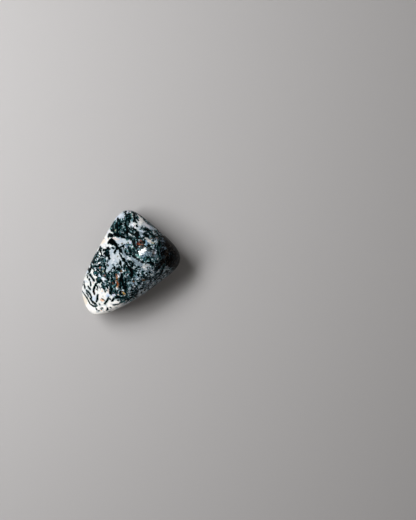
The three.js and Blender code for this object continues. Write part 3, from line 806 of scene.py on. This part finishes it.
stains = {
    "maroon": [(0.5, [(3.1, 7.4), (3.5, 7.7), (3.9, 7.6)]), (0.4, [(3.3, 7.1)])],
    "oxblood": [(0.4, [(2.3, 6.9), (2.9, 6.8)]), (0.5, [(-8.45, 7.95), (-8.25, 7.75)])],
    "rust": [
        (0.45, [(3, 6.8), (3.4, 6.5), (3.9, 6.5), (4.3, 6.8)]),
        (0.65, [(-4, -5.2), (-3.7, -5.9), (-3.9, -6.4)]),
    ],
    "darkUmber": [
        (0.55, [(3.8, 7.5), (4, 7.1)]), (0.3, [(-4.3, -4.9), (-4.1, -5.5)]), (0.3, [(-3.6, -5.5)]),
    ],
    "orange": [(0.4, [(-9.5, -1.2)])],
    "amber": [(0.45, [(-4.1, -3.7), (-4, -4.4)])],
    "ochre": [(0.4, [(-2.1, -8.4), (-1.7, -8.9)])],
    "sienna": [(0.5, [(-4.5, -4.7), (-4, -5.1)])],
    "terracotta": [(0.35, [(-8.1, -3.5)])],
    "redBrown": [
        (0.5, [(-4.2, -2.9), (-4.1, -3.6)]), (0.5, [(-5.3, -5.8), (-5.1, -6.5)]),
        (0.35, [(-2.5, -8.1), (-2.2, -8.5)]), (0.2, [(-14.9, -10), (-14.2, -10.9)]),
        (0.2, [(-12.1, -12.2), (-11.5, -12.6)]), (0.2, [(-11.6, -8.8), (-11.2, -9.6)]),
    ],
    "umber": [
        (0.3, [(4.2, 7.2)]), (0.4, [(-0.7, 2.6)]), (0.35, [(5.4, 0.25)]), (0.35, [(-10.75, -5.2)]),
        (0.4, [(-1.8, -9), (-1.4, -9.5)]), (0.4, [(8.3, 7.9), (8.9, 7.6)]), (0.3, [(6.9, 8.4)]),
        (0.4, [(1.3, -4.9)]), (0.4, [(-2.6, -1.6), (-2.3, -2)]),
        (0.35, [(-8.9, -10.9), (-8.4, -11.2), (-7.9, -11.5)]), (0.35, [(4.2, -4.3), (4.8, -4.5)]),
    ],
    "tan": [
        (0.45, [(-6.9, 8)]), (0.4, [(-3.65, -4.4)]), (0.5, [(-4, -6.8)]),
        (0.25, [(-1.6, -8.6), (-1.3, -9.1), (-1.2, -9.6)]),
    ],
    "peach": [
        (0.5, [(-9.6, -11.3), (-9, -11.4), (-8.3, -11.7)]), (0.35, [(-11.8, -6)]), (0.35, [(-8.9, -8.5)]),
        (0.4, [(-9.3, -14.8)]),
    ],
}

# grounds: what lies behind the markings, as soft round patches in mm: (x, y, radius) on the upper side and
# the underside, and (azimuth in degrees, height, radius) round the sides

grounds = {
    "snow": {
        "upper": [
            (-13, -11, 5), (-12.4, -7, 3.4), (-8.6, -13, 4), (-9.5, -9.4, 3), (-14, -3.8, 1.4),
            (-5, -13.4, 2.4), (-8.8, 7.2, 1.8), (-7.5, 6, 1.2), (-12.3, -3, 1.2), (-7.4, 9.8, 1),
            (3.5, 14, 1.4), (1.8, 12.6, 0.6),
        ],
        "round": [
            (215, 6, 6), (235, 6, 6), (197, 6, 5), (250, 7, 4), (262, 8, 2.4), (130, 9, 3.4),
            (140, 8, 3.6), (150, 7, 3.6), (160, 7, 3.6), (170, 6, 3.6), (182, 6, 4), (112, 8, 3),
        ],
        "under": [(-11, -9, 4)],
    },
    # painted light: the lower rim of the blunt end is painted whiter than the snow, where it leans away
    # from the light
    "paintedLightWhite": {
        "upper": [
            (-13.6, -14, 1.6), (-11, -15.2, 1.6), (-8.4, -15, 1.6), (-6, -13.8, 1.4), (-3.8, -12.8, 1),
        ],
        "round": [(226, 4, 3), (238, 5, 3), (248, 6, 3)],
        "under": [],
    },
    "blue": {
        "upper": [(6.2, 12, 1.2), (-7, -9.8, 0.5), (-11.8, -11, 0.9), (3.6, 9.8, 1), (-0.6, 8.8, 1)],
        "round": [(110, 9, 3), (190, 5, 2)],
        "under": [(2, 9, 3)],
    },
    "cream": {
        "upper": [(-15, -12, 1.6), (-9.2, 7.4, 0.8), (6.6, 7.5, 1)],
        "round": [(225, 4, 2.4), (140, 5, 2)],
        "under": [(-8, -3, 2.4)],
    },
    "smoke": {
        "upper": [
            (3.5, 4.6, 1.6), (5.8, 5.2, 2), (7.6, 6.2, 1.6), (7.4, 3.4, 2), (4, 3, 1.6), (2.6, 0.4, 1.6),
            (7.5, 0.2, 1.8), (3.5, -2, 2), (6.5, -2.2, 2.2), (9.5, -1.6, 1.8), (2.5, -4.8, 2),
            (5, -4.6, 2), (7.4, -4.4, 1.6), (2.2, -7, 1.8), (4.2, -6.4, 1.4), (1.2, -8.6, 1.4),
            (11.2, -2.8, 1.5), (13, -1.6, 1.2), (9.6, -4.4, 1), (10.4, 7.6, 1.2), (0.4, -4.6, 1.3),
            (0.5, -6.4, 1.3), (0.2, -7.8, 1), (8.4, 8.6, 1), (8.4, 10.2, 0.9), (6.4, 9, 1),
            (7.6, 7.6, 1), (6, -6.4, 1.4), (8, -5.6, 1.2),
        ],
        "round": [(320, 10, 3), (335, 10, 3), (305, 10, 3), (28, 5, 4), (345, 10, 2.4)],
        "under": [(6, 0, 4), (3, -5, 3)],
    },
    "night": {
        "upper": [
            (12.6, 3.4, 3.6), (10.8, 8.2, 1.7), (9.6, 10, 0.9), (10.2, 5.8, 1.4), (9.9, 3.6, 1.2),
            (9.4, 0.6, 1.3), (8.8, -0.6, 0.7), (11.2, 1, 1.6), (13.4, 0.6, 1.7), (14.2, -0.6, 1.1),
            (9.2, 4.8, 0.6), (9.6, 8.6, 1), (9.6, 7.2, 0.9), (9.4, 10.6, 1), (12.4, 6.8, 1.4),
        ],
        "round": [
            (8, 9, 4.5), (20, 8, 4), (355, 9, 3), (5, 5, 4), (352, 5, 3), (20, 4, 4), (32, 5.5, 4),
            (42, 5.5, 3.6), (52, 5, 3.4), (62, 5, 3.2), (72, 5, 3), (82, 5, 2.6),
        ],
        "under": [(10, 2, 3), (-2, 5, 2)],
    },
    # painted shade: round the lower right side, which leans away from the light, the wall is painted dark
    # brown
    "shade": {
        "upper": [],
        "round": [
            (268, 5, 3), (278, 6, 4), (288, 6, 4.4), (295, 6, 4.4), (302, 6, 4.4), (312, 6, 4.4),
            (322, 6, 4.4), (332, 6, 4.2), (342, 6, 3.6),
        ],
        "under": [],
    },
    "thicket": {
        "upper": [
            (-4.6, 12.2, 1.6), (-5.2, 10.9, 1), (-3.2, 11.6, 1.8), (-2, 10.6, 1.5), (-3.6, 9.8, 1.2),
            (-1, 12.6, 0.7), (-0.6, 14.6, 1.1), (-0.2, 10.3, 1.1), (1.2, 9.6, 1.2), (2.5, 9.2, 1),
            (1.6, 7.4, 0.8), (3.8, 8.3, 0.6), (0.6, 4.6, 1.9), (2, 5.4, 1), (3.2, 5.5, 0.8),
            (2.3, 3.9, 1), (4.4, 2.2, 0.7), (5.9, 2.3, 0.9), (-1.2, 4.4, 0.6), (-11.4, 2.4, 1),
            (-12, 0.6, 0.8), (-11.6, -1, 0.9), (-10.4, -2.6, 1), (-10, -5, 1), (-8.6, -2.2, 0.9),
            (-10.2, 1.2, 0.7), (-7.4, -4.6, 1), (-6.4, -7.2, 1.5), (-5.6, -8.2, 1.1), (-8.4, -6.6, 0.9),
            (-5.4, -4.6, 0.8), (-4.9, -7.6, 1), (-3.4, -1.6, 1), (-2, -3.4, 1), (-1.9, -5.6, 1.6),
            (-1.6, -7.6, 1.2), (-0.6, -1.6, 1.2), (0.8, -2.6, 1.1), (-3.6, -10.2, 0.9),
            (-1.6, -9.9, 1.2), (0.6, -9.6, 1.2), (-0.2, -10.4, 1), (-9.8, 1.6, 1.2), (-9.4, -0.4, 1.3),
            (-8.3, 0.8, 0.8), (-8.2, -1.4, 1), (-11, -3, 0.8), (-9, -3.4, 0.8), (-6.6, -3.2, 0.9),
            (-5.2, -3, 1), (-4.5, -4.4, 1), (-5.4, -6, 1.1), (-4.6, -6.8, 1), (-3.6, -3.2, 1.1),
            (-3.3, -6, 1.1), (-3.4, -8.4, 1.1), (-4.6, -9.2, 0.8), (-2.8, -9.4, 1), (-0.4, -3, 1),
            (-2.4, -1.2, 0.8), (-1.4, 0, 0.7), (-0.7, 8.5, 0.7), (0.6, 8.2, 0.6), (3.3, 7.2, 1.2),
            (-0.2, 6.2, 0.8), (-2.4, 13.8, 0.7), (-1.5, 12.8, 0.8), (-3.6, 13.5, 0.8), (5.2, 9.7, 0.8),
            (6.4, 10.3, 0.8), (7.4, 9.4, 0.8), (8.2, 10.2, 0.8), (4.6, 11.3, 0.6), (-7.2, 4, 0.8),
            (4.6, 8, 0.8), (1.4, 12, 0.5), (-11.2, 3.4, 0.7), (-12.6, -0.4, 0.6), (-1.6, -11.2, 1),
            (0.2, -11.2, 1), (1.6, -10.4, 1),
        ],
        "round": [(66, 8, 3), (84, 9, 2.4), (130, 4, 2), (172, 3, 1.8), (270, 6, 2), (310, 3, 2)],
        "under": [(-4, 6, 3), (4, 5, 2.4), (-8, 0, 2), (-3, -8, 3), (8, -1, 2)],
    },
}

# beds: where seeded growths fill the hidden sides, as (azimuth, height, radius, number) round the sides and
# (x, y, radius, number) on the underside

beds = {
    "round": [
        (40, 6, 4, 26), (52, 6, 4, 24), (66, 6, 4, 28), (82, 6, 4, 26), (100, 4, 3, 14),
        (120, 3.5, 3, 18), (135, 3.5, 3, 16), (150, 3.5, 3, 18), (165, 3.5, 3, 18), (178, 3.5, 3, 14),
        (190, 3, 2, 10), (205, 3, 2, 6), (225, 3.5, 3, 6), (245, 4, 3, 9), (262, 4, 3, 14),
        (275, 4, 3, 16), (290, 4, 3, 16), (305, 4, 3, 14), (322, 4, 3, 12), (340, 4, 3, 12),
        (358, 4, 3, 10), (18, 4, 3, 12),
    ],
    "under": [
        (-4, 8, 4, 26), (4, 6, 4, 24), (-8, 1, 4, 22), (-2, 0, 4, 18), (-4, -7, 4, 24), (4, -4, 4, 20),
        (9, 1, 4, 16), (-11, -7, 4, 10),
    ],
}

bedGrowth = {
    "length": (0.5, 1.9),       # mm
    "width": (0.4, 0.85),       # mm
    "branches": 3,              # at most, on each growth
    "branchLength": (0.4, 0.9),
    "branchWidth": (0.28, 0.5),
    "branchAngle": (35, 75),    # degrees from the growth
    "stuck": 1e-6,              # mm between beads, below which a growth has no direction there
    # how often each kind of growth comes, and its colours
    "kinds": [("black", 6, ["black"]), ("veil", 2, ["teal", "teal", "petrol", "pewter"]),
              ("window", 2, ["iceBlue", "mist", "milk", "ash", "lavender"]),
              ("stain", 0.5, ["sienna", "redBrown", "tan", "umber"])],
}


def fillBed(skin, side, bed, layers, chance, growth):
    # growths scattered over a round bed, each with its branches
    a, b, radius, number = bed
    middle = skin.at(side, a, b)
    for _ in range(number):
        shares = [share for _, share, _ in growth["kinds"]]
        kind, _, colours = chance.choices(growth["kinds"], shares)[0]
        colour = chance.choice(colours)
        start = middle + Vector([chance.gauss(0, radius / 2) for _ in range(3)])
        heading = Vector([chance.gauss(0, 1) for _ in range(3)])
        length = chance.uniform(*growth["length"])
        stem = skin.walk(start, heading, length, chance.uniform(*growth["width"]), chance)
        layers[kind].append((colour, stem))
        for _ in range(chance.randint(0, growth["branches"])):
            root = chance.randrange(len(stem) - 1)
            along = stem[root + 1][0] - stem[root][0]
            if along.length < growth["stuck"]:
                continue
            angle = math.radians(chance.choice((-1, 1)) * chance.uniform(*growth["branchAngle"]))
            normal = skin.tree.find_nearest(stem[root][0])[1]
            way = Matrix.Rotation(angle, 3, normal) @ along.normalized()
            length = chance.uniform(*growth["branchLength"])
            branch = skin.walk(stem[root][0], way, length, chance.uniform(*growth["branchWidth"]), chance)
            layers[kind].append((colour, branch))


# how the patches of a ground lie on the skin
patchSettings = {
    "seed": 5,                  # of the smooth noise, so that it's the same in every run
    "wide": (1.5, 0.5),         # edges wander over lengths of 1.5 mm, by 0.5 mm
    "narrow": (0.5, 0.22),      # and over lengths of 0.5 mm, by 0.22 mm
    "steep": 0.4,               # how much heights count against plan distances
    "fade": 1.5,                # radii from its middle at which a patch ends; up to half a radius
                                # it is full
}


def wobbled(points, settings):
    # the points, each moved by smooth noise, so that what is measured from them has uneven edges
    noise.seed_set(settings["seed"])
    moved = []
    for point in points:
        place = Vector(point)
        shift = Vector()
        for size, amount in (settings["wide"], settings["narrow"]):
            shift += noise.noise_vector(place / size) * amount
        moved.append(place + shift)
    return np.array(moved, np.float32)


def patchShare(skin, moved, patches, settings):
    # how much of a ground each point has, from 0 to 1
    value = np.zeros(len(moved), np.float32)
    for side, spots in patches.items():
        # a patch of the upper side or the underside spreads further down or up the steep sides
        weights = (1, 1, 1 if side == "round" else settings["steep"])
        for a, b, radius in spots:
            middle = np.array(skin.at(side, a, b)[:], np.float32)
            gap = np.linalg.norm((moved - middle) * weights, axis=1)
            value = np.maximum(value, np.clip(settings["fade"] - gap / radius, 0, 1))
    return value


def store(stone, name, values, kind="FLOAT"):
    # keeps one value or colour for each vertex as an attribute
    layer = stone.data.attributes.new(name, kind, "POINT")
    channel = "color" if kind == "FLOAT_COLOR" else "value"
    layer.data.foreach_set(channel, np.asarray(values, np.float32).ravel())


def measureMarkings(stone, settings):
    skin = Skin(stone, settings)
    chance = random.Random(settings["seed"])
    layers = {"veil": [], "window": [], "black": [], "stain": []}
    for group in blackMoss.values():
        layers["black"] += [("black", skin.lay(width, path)) for width, path in group]
    for group in darkMoss.values():
        layers["veil"] += [("inkTeal", skin.lay(width, path)) for width, path in group]
    for kind, groups in (("veil", veils), ("window", windows), ("stain", stains)):
        for colour, strokes in groups.items():
            layers[kind] += [(colour, skin.lay(width, path)) for width, path in strokes]
    print("strokes laid:", {kind: len(growths) for kind, growths in layers.items()})
    for side, spots in beds.items():
        for bed in spots:
            fillBed(skin, side, bed, layers, chance, bedGrowth)
    print("beds filled:", {kind: len(growths) for kind, growths in layers.items()})
    for kind, growths in layers.items():
        gap, tint = skin.paint(growths, settings["reach"])
        store(stone, kind, gap)
        if kind != "black":
            store(stone, kind + "Tint", tint, "FLOAT_COLOR")
    moved = wobbled(skin.points, patchSettings)
    for name, patches in grounds.items():
        store(stone, name, patchShare(skin, moved, patches, patchSettings))
    print("markings measured")


# material: tumble-polished chalcedony, glassy and wet-looking, so the eye sees sharp small reflections
# over a milky white and smoky ground with blackish green moss in it

agateFinish = {
    "polish": 0.1,              # roughness of the clear chalcedony
    "mossPolish": 0.2,          # and of the moss, which takes less of a shine
    "polishDrift": 0.05,        # how much both drift from place to place
    "specular": 0.008,
    "gloss": 0.12,              # how strongly the chalcedony mirrors
    "mossGloss": 0.08,          # and the moss
    "nightLoss": 0.04,          # and how much less the black end does
    "coatRoughness": 0.06,
    "ior": 1.54,
    "milk": "#b7c0c6",          # the ground everywhere, in three shades that drift into each other
    "milkBlue": "#a3b0bc",
    "milkWhite": "#cdd1d4",
    "snow": "#e7e6e3",          # the opaque white of the blunt end, with faint grey flecks
    "snowShade": "#ccd3d9",
    "snowSpeck": "#a3acb1",
    "paintedLightWhite": "#fdfbf7",         # its brightest part, painted light on the lower rim of the blunt end, which leans away from the light
    "blue": "#c0cde0",          # a bluish cast
    "cream": "#e4d9c8",         # a warm cast
    "smoke": "#788e9c",         # clear grey quartz over dark moss, mottled
    "smokeLight": "#b4c7d4",
    "smokeDark": "#080d0f",
    "smokeTeal": "#56757a",
    "smokeSpeck": "#c9d2d8",
    "shade": "#2b2927",         # painted shade: the side that leans away from the light, painted brownish and dark
    "shadeLight": "#4b4743",
    "night": "#020304",         # the black end, with faint brown and slate clouds
    "nightBrown": "#120905",
    "nightSlate": "#222c31",
    "nightSpeck": "#34302c",
    "thicket": "#05292b",       # dense moss, with light places where the stone shows through
    "thicketDark": "#020607",
    "thicketLight": "#427981",
    "thicketSpeck": "#c6d1d8",
    "haze": "#708c92",          # milky stone with moss just under it, around black growths
    "mossEdge": "#052b2d",      # black growths thin out to this at their edges
    "mossBlack": "#020506",
    "unevenness": 0.4,          # how much a ground's share swings at its edges
    "raggedness": 0.8,          # mm that growths' edges may wander over patches of 0.8 mm
    "fineness": 0.2,            # mm that they may wander over grains of 0.2 mm
    "calm": 0.85,               # how much of the raggedness the white end takes away
    "sprigs": 1.5,              # mm that dark growths reach out, per unit of mottle over its middle
    "stainFloor": 0.6,          # how much a stain covers where its grain is faint
    "stainGrain": (0.4, 0.56),  # fine noise between which the grain fades in
    "undercut": 0.004,          # mm that the soft moss is worn below the hard chalcedony
    "waviness": 0.0015,         # mm, over lengths of 2.5 mm
    "grain": 0.0006,            # mm, over grains of 0.22 mm
}

# noises: (size of the patches in mm, detail, roughness, shift in mm that keeps it apart, distortion)
agateNoises = {
    "coarse": (1.8, 4, 0.55, 0, 0),
    "medium": (0.8, 3, 0.5, 7, 0.5),
    "fine": (0.22, 2, 0.5, 13, 0),
    "mottle": (0.9, 2, 0.5, 21, 1.2),
    "dapple": (1.1, 2, 0.5, 33, 1),
    "specks": (0.7, 1, 0.5, 57, 0.6),
    "threads": (1.3, 3, 0.5, 45, 1.5),
    "waves": (2.5, 1, 0.5, 71, 0),
}

# how the grounds look, from the lowest up. A ground fades in between two values of its share, up to
# what it covers. A mark on it fades in as a noise goes from its first value to its second:
# (noise, first, second, covers, colour)
groundLooks = {
    "milk": {
        "marks": [("coarse", 0.42, 0.58, 1, "milkBlue"), ("dapple", 0.52, 0.66, 1, "milkWhite")],
    },
    "snow": {
        "fade": (0.2, 0.6), "covers": 1,
        "marks": [("dapple", 0.5, 0.64, 1, "snowShade"), ("specks", 0.58, 0.64, 0.5, "snowSpeck")],
    },
    "paintedLightWhite": {"fade": (0.1, 0.8), "covers": 1, "marks": []},
    "blue": {"fade": (0.2, 0.8), "covers": 0.7, "marks": []},
    "cream": {"fade": (0.2, 0.8), "covers": 0.75, "marks": []},
    "smoke": {
        "fade": (0.35, 0.6), "covers": 1,
        "marks": [("dapple", 0.52, 0.56, 1, "smokeLight"), ("coarse", 0.54, 0.6, 1, "smokeTeal"),
                  ("mottle", 0.475, 0.455, 1, "smokeDark"), ("threads", 0.036, 0.016, 1, "mossBlack"),
                  ("specks", 0.585, 0.62, 1, "smokeSpeck")],
    },
    # painted shade, with moss marks over it
    "shade": {
        "fade": (0.35, 0.6), "covers": 1,
        "marks": [("dapple", 0.5, 0.6, 1, "shadeLight"), ("mottle", 0.5, 0.47, 1, "mossEdge"),
                  ("threads", 0.036, 0.016, 1, "mossBlack"), ("specks", 0.6, 0.64, 1, "smoke")],
    },
    "night": {
        "fade": (0.35, 0.6), "covers": 1,
        "marks": [("coarse", 0.5, 0.6, 1, "nightBrown"), ("dapple", 0.56, 0.6, 1, "nightSlate"),
                  ("specks", 0.6, 0.64, 1, "nightSpeck")],
    },
    "thicket": {
        "fade": (0.4, 0.52), "covers": 1,
        "marks": [("mottle", 0.53, 0.51, 1, "thicketDark"), ("dapple", 0.57, 0.59, 1, "thicketLight"),
                  ("specks", 0.585, 0.61, 1, "thicketSpeck")],
    },
}

# mm from a growth's edge between which each layer fades in, from outside to inside, and what it covers
growthEdges = {
    "haze": (0.45, 0.1, 0.35),
    "veil": (0.12, -0.04, 0.95),
    "window": (0.08, -0.08, 1),
    "black": (0.16, 0.04, 1),
    "blackHeart": (0.02, -0.12, 1),
    "stain": (0.1, -0.1, 1),
}


def polishedAgate(finish, noises, looks, edges):
    material = bpy.data.materials.new("tumble_polished_tree_agate")
    material.use_nodes = True
    tree = material.node_tree
    shader = tree.nodes["Principled BSDF"]
    shader.inputs["IOR"].default_value = finish["ior"]
    shader.inputs["Specular IOR Level"].default_value = finish["specular"]
    shader.inputs["Coat Roughness"].default_value = finish["coatRoughness"]
    shader.inputs["Coat IOR"].default_value = finish["ior"]

    place = addNode(tree, "ShaderNodeTexCoord").outputs["Object"]
    inMm = addNode(tree, "ShaderNodeMapping", {"Scale": (1 / mm,) * 3}, {"Vector": place}).outputs[0]

    def attribute(name, output="Fac"):
        return addNode(tree, "ShaderNodeAttribute", {"attribute_name": name}).outputs[output]

    def cloud(size, detail, roughness, shift, distortion):
        # noise from 0 to 1, around 0.5
        offset = {"Location": (shift, shift * 0.7, -shift)}
        where = addNode(tree, "ShaderNodeMapping", offset, {"Vector": inMm}).outputs[0]
        shape = {"Scale": 1 / size, "Detail": detail, "Roughness": roughness, "Distortion": distortion}
        return addNode(tree, "ShaderNodeTexNoise", shape, {"Vector": where}).outputs["Fac"]

    def worked(kind, settings, inputs, output=0):
        # a node whose inputs are numbers, colours as hex values, or what other nodes give
        links = {name: given for name, given in inputs.items() if isinstance(given, bpy.types.NodeSocket)}
        for name, given in inputs.items():
            if name not in links:
                settings[name] = srgb(given) if isinstance(given, str) else given
        return addNode(tree, kind, settings, links).outputs[output]

    def calculate(operation, a, b):
        return worked("ShaderNodeMath", {"operation": operation}, {0: a, 1: b})

    def add(a, b):
        return calculate("ADD", a, b)

    def subtract(a, b):
        return calculate("SUBTRACT", a, b)

    def multiply(a, b):
        return calculate("MULTIPLY", a, b)

    def fade(value, start, end, covers=1):
        # smoothly from 0 at start to what it covers at end; end may be below start
        share = worked("ShaderNodeMapRange", {"interpolation_type": "SMOOTHSTEP"},
                       {"Value": value, "From Min": start, "From Max": end})
        return share if covers == 1 else multiply(share, covers)

    def blend(share, under, over):
        # one colour over another
        settings = {"data_type": "RGBA", "clamp_factor": True}
        return worked("ShaderNodeMix", settings, {0: share, 6: under, 7: over}, 2)

    def swing(source, amount):
        # a noise, turned to a length that goes this far to either side of 0
        return multiply(subtract(source, 0.5), amount * 2)

    clouds = {name: cloud(*shape) for name, shape in noises.items()}
    # threads run where their noise is close to its middle
    clouds["threads"] = calculate("ABSOLUTE", subtract(clouds["threads"], 0.5), 0.0)
    # growths are ragged in the moss and clean in the white end
    ragged = subtract(1.0, multiply(attribute("snow"), finish["calm"]))
    wander = multiply(swing(clouds["medium"], finish["raggedness"]), ragged)
    wander = add(wander, swing(clouds["fine"], finish["fineness"]))
    # sprigs only reach outwards, so that they never break a growth
    reach = calculate("MAXIMUM", subtract(clouds["mottle"], 0.5), 0.0)
    sprigs = multiply(multiply(reach, -finish["sprigs"]), ragged)

    def ground(name):
        # the share of a ground, with uneven edges
        share = add(attribute(name), swing(clouds["medium"], finish["unevenness"]))
        return fade(share, *looks[name]["fade"], looks[name]["covers"])

    def marked(name):
        # a ground's own colour, with its marks over it
        colour = finish[name]
        for source, start, end, covers, over in looks[name]["marks"]:
            colour = blend(fade(clouds[source], start, end, covers), colour, finish[over])
        return colour

    # milky stone lies everywhere, and the other grounds lie over it in turn
    colour = marked("milk")
    shares = {name: ground(name) for name, look in looks.items() if "fade" in look}
    for name, share in shares.items():
        colour = blend(share, colour, marked(name))

    # growths, from the deepest up: soft smudges, the light places between, black moss and iron stains
    black = add(add(attribute("black"), wander), sprigs)
    colour = blend(fade(black, *edges["haze"]), colour, finish["haze"])
    veil = add(add(attribute("veil"), wander), sprigs)
    colour = blend(fade(veil, *edges["veil"]), colour, attribute("veilTint", "Color"))
    window = add(attribute("window"), wander)
    colour = blend(fade(window, *edges["window"]), colour, attribute("windowTint", "Color"))
    moss = blend(fade(black, *edges["blackHeart"]), finish["mossEdge"], finish["mossBlack"])
    blackShare = fade(black, *edges["black"])
    colour = blend(blackShare, colour, moss)
    stain = fade(add(attribute("stain"), wander), *edges["stain"])
    speckle = add(finish["stainFloor"], fade(clouds["fine"], *finish["stainGrain"]))
    colour = blend(multiply(stain, speckle), colour, attribute("stainTint", "Color"))

    # polish: the moss is a little duller than the chalcedony and a hair lower, over faint waves and grain
    mossShare = calculate("MAXIMUM", blackShare, shares["thicket"])
    polish = add(finish["polish"], multiply(mossShare, finish["mossPolish"] - finish["polish"]))
    polish = add(polish, swing(clouds["dapple"], finish["polishDrift"]))
    gloss = add(finish["gloss"], multiply(mossShare, finish["mossGloss"] - finish["gloss"]))
    gloss = subtract(gloss, multiply(shares["night"], finish["nightLoss"]))
    waves = multiply(clouds["waves"], finish["waviness"])
    grains = multiply(clouds["fine"], finish["grain"])
    height = subtract(add(waves, grains), multiply(mossShare, finish["undercut"]))
    bump = {"Strength": 1.0, "Distance": mm}
    relief = addNode(tree, "ShaderNodeBump", bump, {"Height": height}).outputs[0]
    glaze = addNode(tree, "ShaderNodeBump", bump, {"Height": waves}).outputs[0]

    tree.links.new(colour, shader.inputs["Base Color"])
    tree.links.new(polish, shader.inputs["Roughness"])
    tree.links.new(gloss, shader.inputs["Coat Weight"])
    tree.links.new(relief, shader.inputs["Normal"])
    tree.links.new(glaze, shader.inputs["Coat Normal"])
    return material


addCamera(cameraSettings)
addStudio(studio)
stone = shapeStone(stoneShape)
measureMarkings(stone, growthSettings)
stone.data.materials.append(polishedAgate(agateFinish, agateNoises, groundLooks, growthEdges))
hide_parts("stone")
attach(stone, "root")
